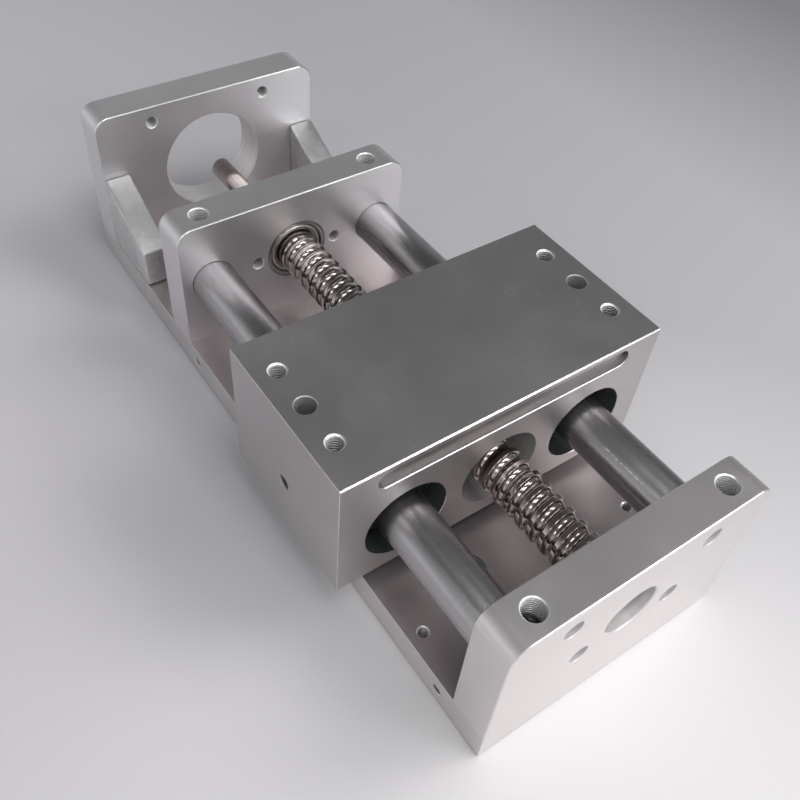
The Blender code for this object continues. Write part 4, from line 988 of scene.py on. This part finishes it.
def ball_screw():
    bm = bmesh.new()
    low = at(THREAD_START).y
    high = at(THREAD_END - SHOULDER_LENGTH / 2).y
    axis = Vector((0, 0, AXIS_HEIGHT))
    helix(bm, raceway_corners(), LEAD, low, high, RACEWAY_FACETS, RACEWAY_PHASE, ALONG, axis)
    journal = JOURNAL / 2
    groove = journal - 0.0007
    front = [(0, 0), (journal - 0.0006, 0), (journal, 0.0006), (journal, 0.00135), (groove, 0.00135)]
    front += [(groove, 0.00265), (journal, 0.00265), (journal, 0.014), (0, 0.014)]
    revolve(bm, front, RING_FACETS, ALONG, at(SCREW_START))
    first = THREAD_END - SHOULDER_LENGTH
    shoulder = SHOULDER_DIAMETER / 2
    steps = [(0, first), (shoulder - 0.0004, first), (shoulder, first + 0.0004)]
    steps += [(shoulder, THREAD_END - 0.0003), (shoulder - 0.0003, THREAD_END), (journal, THREAD_END)]
    steps += [(journal, 0.1983), (journal - 0.0002, 0.1985), (0.005, 0.1985), (0.005, 0.2057)]
    steps += [(0.0047, 0.2060), (0.004, 0.2060), (0.004, 0.2344), (0.0034, 0.2350), (0, 0.2350)]
    revolve(bm, [(radius, station - first) for radius, station in steps], RING_FACETS, ALONG, at(first))
    stand_for(solid("ball_screw_fine", bm, "screw"), "screw", "screw", "ball_screw")


def front_bearing():
    """The bearing face that shows in the bearing plate: outer ring and pressed shield, with a painted
    highlight on the shield's bead.
    """
    outer = [(0.01175, 0.0060), (0.01175, 0.0004), (0.01160, 0.0001), (0.01140, 0.0), (0.01070, 0.0)]
    outer += [(0.01045, 0.0001), (0.01035, 0.0003), (0.01033, 0.0010), (0.01065, 0.0030), (0.01033, 0.0060)]
    name = "fixed_bearing_front_outer_ring"
    turned_piece(name, outer, ALONG, at(FIXED_BEARING_START), "frame", "bearing", label="bearing_outer_ring")
    shield = [(0.0100, 0.0008), (0.0100, 0.0004), (0.0099, 0.00028), (0.00965, 0.00026), (0.0095, 0.00016)]
    shield += [(0.00935, 0.00003), (0.0092, 0.0), (0.00905, 0.00005), (0.0089, 0.0002), (0.0087, 0.0003)]
    shield += [(0.0082, 0.0003), (0.0080, 0.0004), (0.0080, 0.0008)]
    name = "fixed_bearing_shield"
    piece = turned_piece(name, shield, ALONG, at(SHIELD_START), "frame", "shield", label="bearing_shield")
    # Painted highlight: the bead's front-facing faces take the bright edge finish.
    piece.data.materials.append(FINISH["edge"])
    low, high = SHIELD_BEAD_HIGHLIGHT
    for face in piece.data.polygons:
        if low < math.hypot(face.center.x, face.center.z - AXIS_HEIGHT) < high and face.normal.y < 0:
            face.material_index = 1


def support_bearing():
    """The rings of the bearing seen through the bore of the front end plate."""
    width = 0.006
    rings = (("outer", 0.01032, 0.0117, "frame"), ("inner", 0.00768, 0.0063, "screw"))
    for label, surface, back, body in rings:
        lean = 0.0003 if back > surface else -0.0003
        profile = [(surface, 0.0002), (surface + lean / 2, 0.0), (back - lean, 0.0), (back, 0.0004)]
        profile += [(back, width), (surface, width)]
        name = f"support_bearing_{label}_ring"
        turned_piece(name, profile, ALONG, at(SUPPORT_BEARING_START), body, "bearing")


def lock_nut():
    """The slotted nut and the collar behind the bearing plate."""
    bore = 0.0063
    outer = 0.011
    profile = [(bore, 0), (outer - 0.0006, 0), (outer, 0.0006), (outer, 0.0069), (outer - 0.0006, 0.0075)]
    profile += [(bore + 0.0004, 0.0075), (bore, 0.0071)]
    nut = turned_piece("bearing_lock_nut", profile, ALONG, at(LOCK_NUT_START), "screw", "black")
    slots = bmesh.new()
    near = at(LOCK_NUT_START).y - OVERRUN
    far = near + 0.0095
    half_slot = 0.00175
    for side in SIDES:
        inner, outer = sorted((side * 0.0092, side * 0.012))
        box(slots, (inner, near, AXIS_HEIGHT - half_slot), (outer, far, AXIS_HEIGHT + half_slot))
        box(slots, (-half_slot, near, AXIS_HEIGHT + inner), (half_slot, far, AXIS_HEIGHT + outer))
    carve(nut, [solid("lock_nut_slots", slots, "black")])
    collar = [(0.0063, 0), (0.00768, 0), (0.00768, 0.0022), (0.0063, 0.0022)]
    turned_piece("bearing_spacer_collar", collar, ALONG, at(COLLAR_START), "screw", "bearing")


# Pieces of the carriage


def is_front_top(edge, front):
    """Whether a carriage edge is the one between its front and top faces."""
    return all(abs(vert.co.y - front) < 1e-6 and abs(vert.co.z - CARRIAGE_TOP) < 1e-6 for vert in edge.verts)


def carriage_block():
    bm = bmesh.new()
    front = at(CARRIAGE_START).y
    box(bm, (-CARRIAGE_HALF, front, CARRIAGE_BOTTOM), (CARRIAGE_HALF, front + CARRIAGE_LENGTH, CARRIAGE_TOP))
    break_edges(bm, CARRIAGE_RIM, chosen=lambda edge: is_front_top(edge, front))
    break_edges(bm, EDGE_BREAK * 0.75, 60)
    piece = solid("carriage_block_fine", bm, "carriage", "edge")
    bores = bmesh.new()
    nut_bore = bmesh.new()
    step = (BUSHING_BORE / 2, CARRIAGE_LENGTH)
    for x, bm in ((-ROD_X, bores), (0.0, nut_bore), (ROD_X, bores)):
        drill(bm, ALONG, at(CARRIAGE_START, x), step, facets=BORE_FACETS, rim=0.00015, far_rim=0.00015)
    for face in bores.faces:
        if face.calc_center_median().y < front:
            face.material_index = 1
    plain = bmesh.new()
    payload = []
    for side in SIDES:
        x = side * PAYLOAD_HOLE_X
        drill(plain, DOWN, at(CARRIAGE_CENTRE, x, CARRIAGE_TOP), (0.0032, 0.010), facets=48, rim=0.0003)
        drill(plain, sideways(side), at(CARRIAGE_CENTRE, side * CARRIAGE_HALF), (0.0023, 0.023), rim=0.0003)
        for along in SIDES:
            mouth = at(CARRIAGE_CENTRE + along * PAYLOAD_HOLE_REACH, x, CARRIAGE_TOP)
            payload += tapped_hole("payload", THREAD_M6, 0.015, 0.0125, DOWN, mouth)
    for mouth in nut_bolt_points(CARRIAGE_END):
        drill(plain, AGAINST, mouth, (screw_hole(CAP_M5), 0.012))
    # The bushing bores' walls take the near-black painted shade.
    cutters = [solid("carriage_bores", bores, "dim_bore", "edge")]
    cutters += [solid("carriage_nut_bore", nut_bore, "nut_bore"), solid("carriage_plain", plain, "reamed")]
    carve(piece, cutters + [cover_groove(front)] + payload)
    stand_for(piece, "carriage", "carriage", "carriage_block")


def cover_groove(front):
    """Cutter of the shallow round-ended groove along the carriage's front face, with a broken rim. Its walls
    take a darker colour as painted shade.
    """
    radius = 0.00315
    middle = CARRIAGE_TOP - 0.0022 - radius
    reach = CARRIAGE_HALF - 0.012 - radius
    arc_steps = 16
    bm = bmesh.new()
    loops = []
    outside = (HOLE_RIM + OVERRUN, -OVERRUN)
    for grown, depth in (outside, (HOLE_RIM, 0.0), (0.0, HOLE_RIM), (0.0, COVER_GROOVE_DEPTH)):
        loop = []
        for side, first in ((1, -90), (-1, 90)):
            for step in range(arc_steps + 1):
                angle = math.radians(first + 180 * step / arc_steps)
                x = side * reach + (radius + grown) * math.cos(angle)
                z = middle + (radius + grown) * math.sin(angle)
                loop.append(bm.verts.new((x, front + depth, z)))
        loops.append(loop)
    bm.faces.new(loops[0])
    bridge(bm, zip(loops[:2], loops[1:3]), 1)
    bridge(bm, [(loops[2], loops[3])])
    bm.faces.new(loops[3])
    return solid("cover_groove", bm, "groove", "edge")


def bushing_ends():
    """The ends of the linear bearings, deep in their bores: a lip round a dished seal, all in the rubber
    finish.
    """
    seal = [(0.0084, 0.0009), (0.0087, 0.0006), (0.0098, 0.0007), (0.0112, 0.0003), (0.0118, 0.0002)]
    seal += [(0.0120, 0.0006), (0.0122, 0.0006), (0.0124, 0.0001), (0.0132, 0.0), (0.0137, 0.0004)]
    seal += [(0.0137, 0.0016), (0.0084, 0.0016)]
    front = ("front", ALONG, CARRIAGE_START + BUSHING_RECESS)
    rear = ("rear", AGAINST, CARRIAGE_END - BUSHING_RECESS)
    for side in SIDES:
        for end, turn, station in (front, rear):
            name = f"linear_bearing_seal_{side_name(side)}_{end}"
            turned_piece(name, seal, turn, at(station, side * ROD_X), "carriage", "rubber")


def ball_nut():
    """The nut's body and its flange with two flats, behind the carriage."""
    body = 0.0137
    flange = 0.024
    bore = 0.0081
    end = CARRIAGE_END + SEAT_GAP - NUT_START
    back = end + NUT_FLANGE_LENGTH
    edge = 0.0006
    profile = [(bore, 0.0033), (0.011, 0.0033), (0.011, 0.0), (body - edge, 0.0), (body, edge), (body, end)]
    profile += [(flange - edge, end), (flange, end + edge), (flange, back - edge), (flange - edge, back)]
    profile += [(0.0113, back), (0.011, back - 0.0003), (0.011, back - 0.0033), (bore, back - 0.0033)]
    nut = turned_piece("ball_nut", profile, ALONG, at(NUT_START), "carriage", "bearing", BORE_FACETS)
    cuts = bmesh.new()
    near = at(NUT_START + end).y - 0.0001
    far = at(NUT_START + back).y + OVERRUN
    for side in SIDES:
        low, high = sorted((AXIS_HEIGHT + side * 0.020, AXIS_HEIGHT + side * 0.026))
        box(cuts, (-0.03, near, low), (0.03, far, high))
    for mouth in nut_bolt_points(NUT_START + back):
        drill(cuts, AGAINST, mouth, (screw_hole(CAP_M5), 0.009), rim=0.0003)
    carve(nut, [solid("nut_cuts", cuts, "bearing")])


# Fasteners


def cap_screw(name, kind, reach, turn, seat, body):
    """A socket head cap screw, standing for the node of the same name."""
    thread, head, height, socket = kind
    edge = 0.0004
    profile = [(0, reach), (thread / 2 - 0.0004, reach), (thread / 2, reach - 0.0005), (thread / 2, 0)]
    profile += [(head / 2, 0), (head / 2, -height + edge), (head / 2 - edge, -height)]
    profile += [(socket / 2 + 0.0002, -height), (socket / 2, -height + 0.0002, True)]
    profile += [(socket / 2, -height * 0.45, True), (0, -height * 0.45)]
    turned_piece(name, profile, turn, seat, body, "black", SCREW_FACETS)


def set_screw(name, thread, length, turn, top, body):
    """A headless screw with a hexagon socket."""
    radius = thread / 2
    socket = thread * 0.29
    profile = [(0, length), (thread * 0.3, length), (radius, length - thread * 0.2), (radius, 0.0003)]
    profile += [(radius - 0.0003, 0), (socket + 0.0002, 0), (socket, 0.0002, True)]
    profile += [(socket, thread * 0.5, True), (0, thread * 0.5)]
    turned_piece(name, profile, turn, top, body, "black", SCREW_FACETS)


def fasteners():
    screw_end = FOOT_Z + 0.010
    foot_seat = CAP_M6[2] + HEAD_CLEARANCE - SEAT_GAP
    gusset_seat = CAP_M5[2] + HEAD_CLEARANCE - SEAT_GAP
    for label, plate in (("front", FRONT_PLATE), ("bearing", BEARING_PLATE), ("motor", MOTOR_PLATE)):
        station = foot_station(plate)
        for side in SIDES:
            ending = f"{label}_{side_name(side)}"
            seat = at(station, side * FOOT_SCREW_X, foot_seat)
            cap_screw("base_screw_" + ending, CAP_M6, screw_end - foot_seat, UP, seat, "frame")
            if plate != MOTOR_PLATE:
                top = at(station, side * ROD_X, ROD_SCREW_TOP)
                set_screw("rod_set_screw_" + ending, 0.006, 0.008, DOWN, top, "frame")
    for side in SIDES:
        seat = at(GUSSET_SCREW[0], side * GUSSET_SCREW[1], gusset_seat)
        cap_screw("gusset_screw_" + side_name(side), CAP_M5, screw_end - gusset_seat, UP, seat, "frame")
        mouth = at(CARRIAGE_CENTRE, side * (CARRIAGE_HALF - 0.0006))
        set_screw("grease_screw_" + side_name(side), 0.004, 0.005, sideways(side), mouth, "carriage")
    for index, seat in enumerate(nut_bolt_points(CARRIAGE_END + NUT_FLANGE_LENGTH + 2 * SEAT_GAP), 1):
        cap_screw(f"nut_screw_{index}", CAP_M5, 0.019, AGAINST, seat, "carriage")


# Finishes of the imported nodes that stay, by a part of their names

KEPT_FINISH = {
    "ball_circuit": "bearing",
    "ball_cage": "bearing",
    "inner_ring": "bearing",
    "outer_ring": "bearing",
    "linear_bearing": "bearing",
    "wiper": "plastic",
    "circlip": "black",
}


def finish_kept_nodes():
    for name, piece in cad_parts.items():
        finish = next((value for key, value in KEPT_FINISH.items() if key in name), None)
        if finish:
            piece.data.materials.clear()
            piece.data.materials.append(FINISH[finish])


# Floor, light and camera


def floor():
    """A pale sheet with painted light: lighter on its left, a painted pool of light in front of the stage,
    and painted shade far off on its right.
    """
    bm = bmesh.new()
    bmesh.ops.create_grid(bm, x_segments=1, y_segments=1, size=4.0)
    mesh = bpy.data.meshes.new("floor")
    bm.to_mesh(mesh)
    bm.free()
    made = show("floor", mesh)
    made.location.z = -0.0004
    paint, tree, shader, place = start_material("floor_sheet", 0.3, 0.0)
    # Painted pool of light: the floor turns paler towards a point in front of the stage.
    away = node(tree, "ShaderNodeVectorMath", operation="DISTANCE")
    plug(tree, place, away.inputs[0])
    away.inputs[1].default_value = PAINTED_LIGHT_POOL_CENTRE
    painted_light_pool = remap(tree, away.outputs["Value"], 0.0, PAINTED_LIGHT_POOL_RADIUS, 1.0, 0.0)
    x = parts_of(tree, place)["X"]
    # Painted light: the floor's colour is paler on its left and darker on its right.
    tone = blend(tree, remap(tree, x, *FLOOR_TONE_X), FLOOR_LEFT, FLOOR_RIGHT)
    colour = blend(tree, painted_light_pool, tone, PAINTED_LIGHT_POOL_TONE)
    # Painted shade: the floor darkens towards black far off on its right.
    dark = remap(tree, x, *PAINTED_SHADE_FLOOR_X, 0.0, PAINTED_SHADE_FLOOR_SHARE)
    plug(tree, blend(tree, dark, colour, (0.0, 0.0, 0.0)), shader.inputs["Base Color"])
    mesh.materials.append(paint)


def lamp(name, place, aim, size, power, colour=(1.0, 1.0, 1.0)):
    """A soft rectangular lamp at a place, facing an aim. Its long side lies level."""
    light = bpy.data.lights.new(name, "AREA")
    light.shape = "RECTANGLE"
    light.size, light.size_y = size
    light.energy = power
    light.color = colour
    made = show(name, light)
    made.location = place
    made.rotation_euler = (Vector(place) - Vector(aim)).to_track_quat("Z", "Y").to_euler()
    return made


def soft_world():
    """An even studio, dark high up behind the stage. Metals mirror a darker one with walls and a roof."""
    world = bpy.data.worlds.new("studio")
    bpy.context.scene.world = world
    world.use_nodes = True
    tree = world.node_tree
    tree.nodes.clear()
    x, y, z = parts_of(tree, node(tree, "ShaderNodeTexCoord").outputs["Generated"])
    behind = remap(tree, y, *BEHIND_Y)
    dark = product(tree, behind, remap(tree, z, *RAISED_Z))
    lighting = remap(tree, dark, 0.0, 1.0, SKY_LEVEL, DARK_SKY_LEVEL)
    overhead = remap(tree, behind, 0.0, 1.0, METAL_SKY_FRONT, METAL_SKY_BEHIND)
    horizon = remap(tree, x, *RIGHT_WALL_X, SKY_LEVEL, METAL_SKY_RIGHT)
    mirrored = remap(tree, remap(tree, z, *ROOF_Z), 0.0, 1.0, horizon, overhead)
    left_wall = remap(tree, x, *LEFT_WALL_X, METAL_SKY_LEFT, 0.0)
    mirrored = add_share(tree, mirrored, left_wall, remap(tree, z, *LEFT_WALL_TOP_Z, 1.0, 0.0))
    far_wall = remap(tree, y, *FAR_WALL_Y, 0.0, METAL_SKY_FAR)
    mirrored = add_share(tree, mirrored, far_wall, remap(tree, z, *FAR_WALL_TOP_Z, 1.0, 0.0))
    rays = node(tree, "ShaderNodeLightPath")
    level = node(tree, "ShaderNodeMix", data_type="FLOAT")
    plug(tree, rays.outputs["Is Glossy Ray"], level.inputs[0])
    plug(tree, lighting, level.inputs[2])
    plug(tree, mirrored, level.inputs[3])
    soft = node(tree, "ShaderNodeBackground")
    soft.inputs["Color"].default_value = (0.97, 0.985, 1.0, 1.0)
    plug(tree, level.outputs[0], soft.inputs["Strength"])
    plain = node(tree, "ShaderNodeBackground")
    plain.inputs["Color"].default_value = (0.80, 0.81, 0.83, 1.0)
    mix = node(tree, "ShaderNodeMixShader")
    plug(tree, rays.outputs["Is Camera Ray"], mix.inputs["Fac"])
    plug(tree, soft.outputs[0], mix.inputs[1])
    plug(tree, plain.outputs[0], mix.inputs[2])
    plug(tree, mix.outputs[0], node(tree, "ShaderNodeOutputWorld").inputs["Surface"])


def light_stage():
    """A soft key from the right, two low lamps for the broken edges, and rows of panels overhead in front."""
    soft_world()
    middle = (0.0, -0.02, 0.03)
    lamp("key_lamp", (0.80, -0.35, 0.95), middle, (0.7, 0.7), 5.6, (1.0, 0.975, 0.965)).visible_glossy = False
    lamp("edge_lamp", (0.40, -0.72, 0.48), middle, (0.30, 0.14), 0.9)
    lamp("low_edge_lamp", (0.45, -0.78, 0.24), middle, (0.34, 0.14), 1.0)
    for column, (x, width) in enumerate(PANEL_COLUMNS, 1):
        for row, y in enumerate(PANEL_ROWS, 1):
            lamp(f"panel_{column}_{row}", (x, y, CEILING), (x, y, 0.0), (width, PANEL_LENGTH), PANEL_POWER)


def photograph_camera():
    """Stands where the photograph was taken from, with its lens and picture centre."""
    azimuth, elevation, roll = (math.radians(angle) for angle in CAMERA_ANGLES)
    level = math.cos(elevation)
    back = Vector((math.sin(azimuth) * level, -math.cos(azimuth) * level, math.sin(elevation)))
    right = (-back).cross(Vector((0, 0, 1))).normalized()
    up = right.cross(-back)
    tilted_right = math.cos(roll) * right - math.sin(roll) * up
    tilted_up = math.sin(roll) * right + math.cos(roll) * up
    camera = bpy.data.cameras.new("camera")
    camera.sensor_width = SENSOR_WIDTH
    camera.lens = FOCAL_LENGTH * SENSOR_WIDTH / PICTURE_WIDTH
    camera.shift_x = (PICTURE_WIDTH / 2 - PICTURE_CENTRE[0]) / PICTURE_WIDTH
    camera.shift_y = (PICTURE_CENTRE[1] - PICTURE_WIDTH / 2) / PICTURE_WIDTH
    camera.clip_start = 0.01
    made = show("camera", camera)
    facing = Matrix((tilted_right, tilted_up, back)).transposed().to_4x4()
    made.matrix_world = Matrix.Translation(Vector(CAMERA_TARGET) + back * CAMERA_DISTANCE) @ facing
    bpy.context.scene.camera = made
    bpy.context.scene.view_settings.view_transform = "Standard"


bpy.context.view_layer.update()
photograph_camera()
light_stage()
floor()
base_plate()
front_end_plate()
bearing_plate()
motor_plate()
for side in SIDES:
    gusset(side)
    guide_rod(side)
ball_screw()
front_bearing()
support_bearing()
lock_nut()
carriage_block()
bushing_ends()
ball_nut()
fasteners()
finish_kept_nodes()
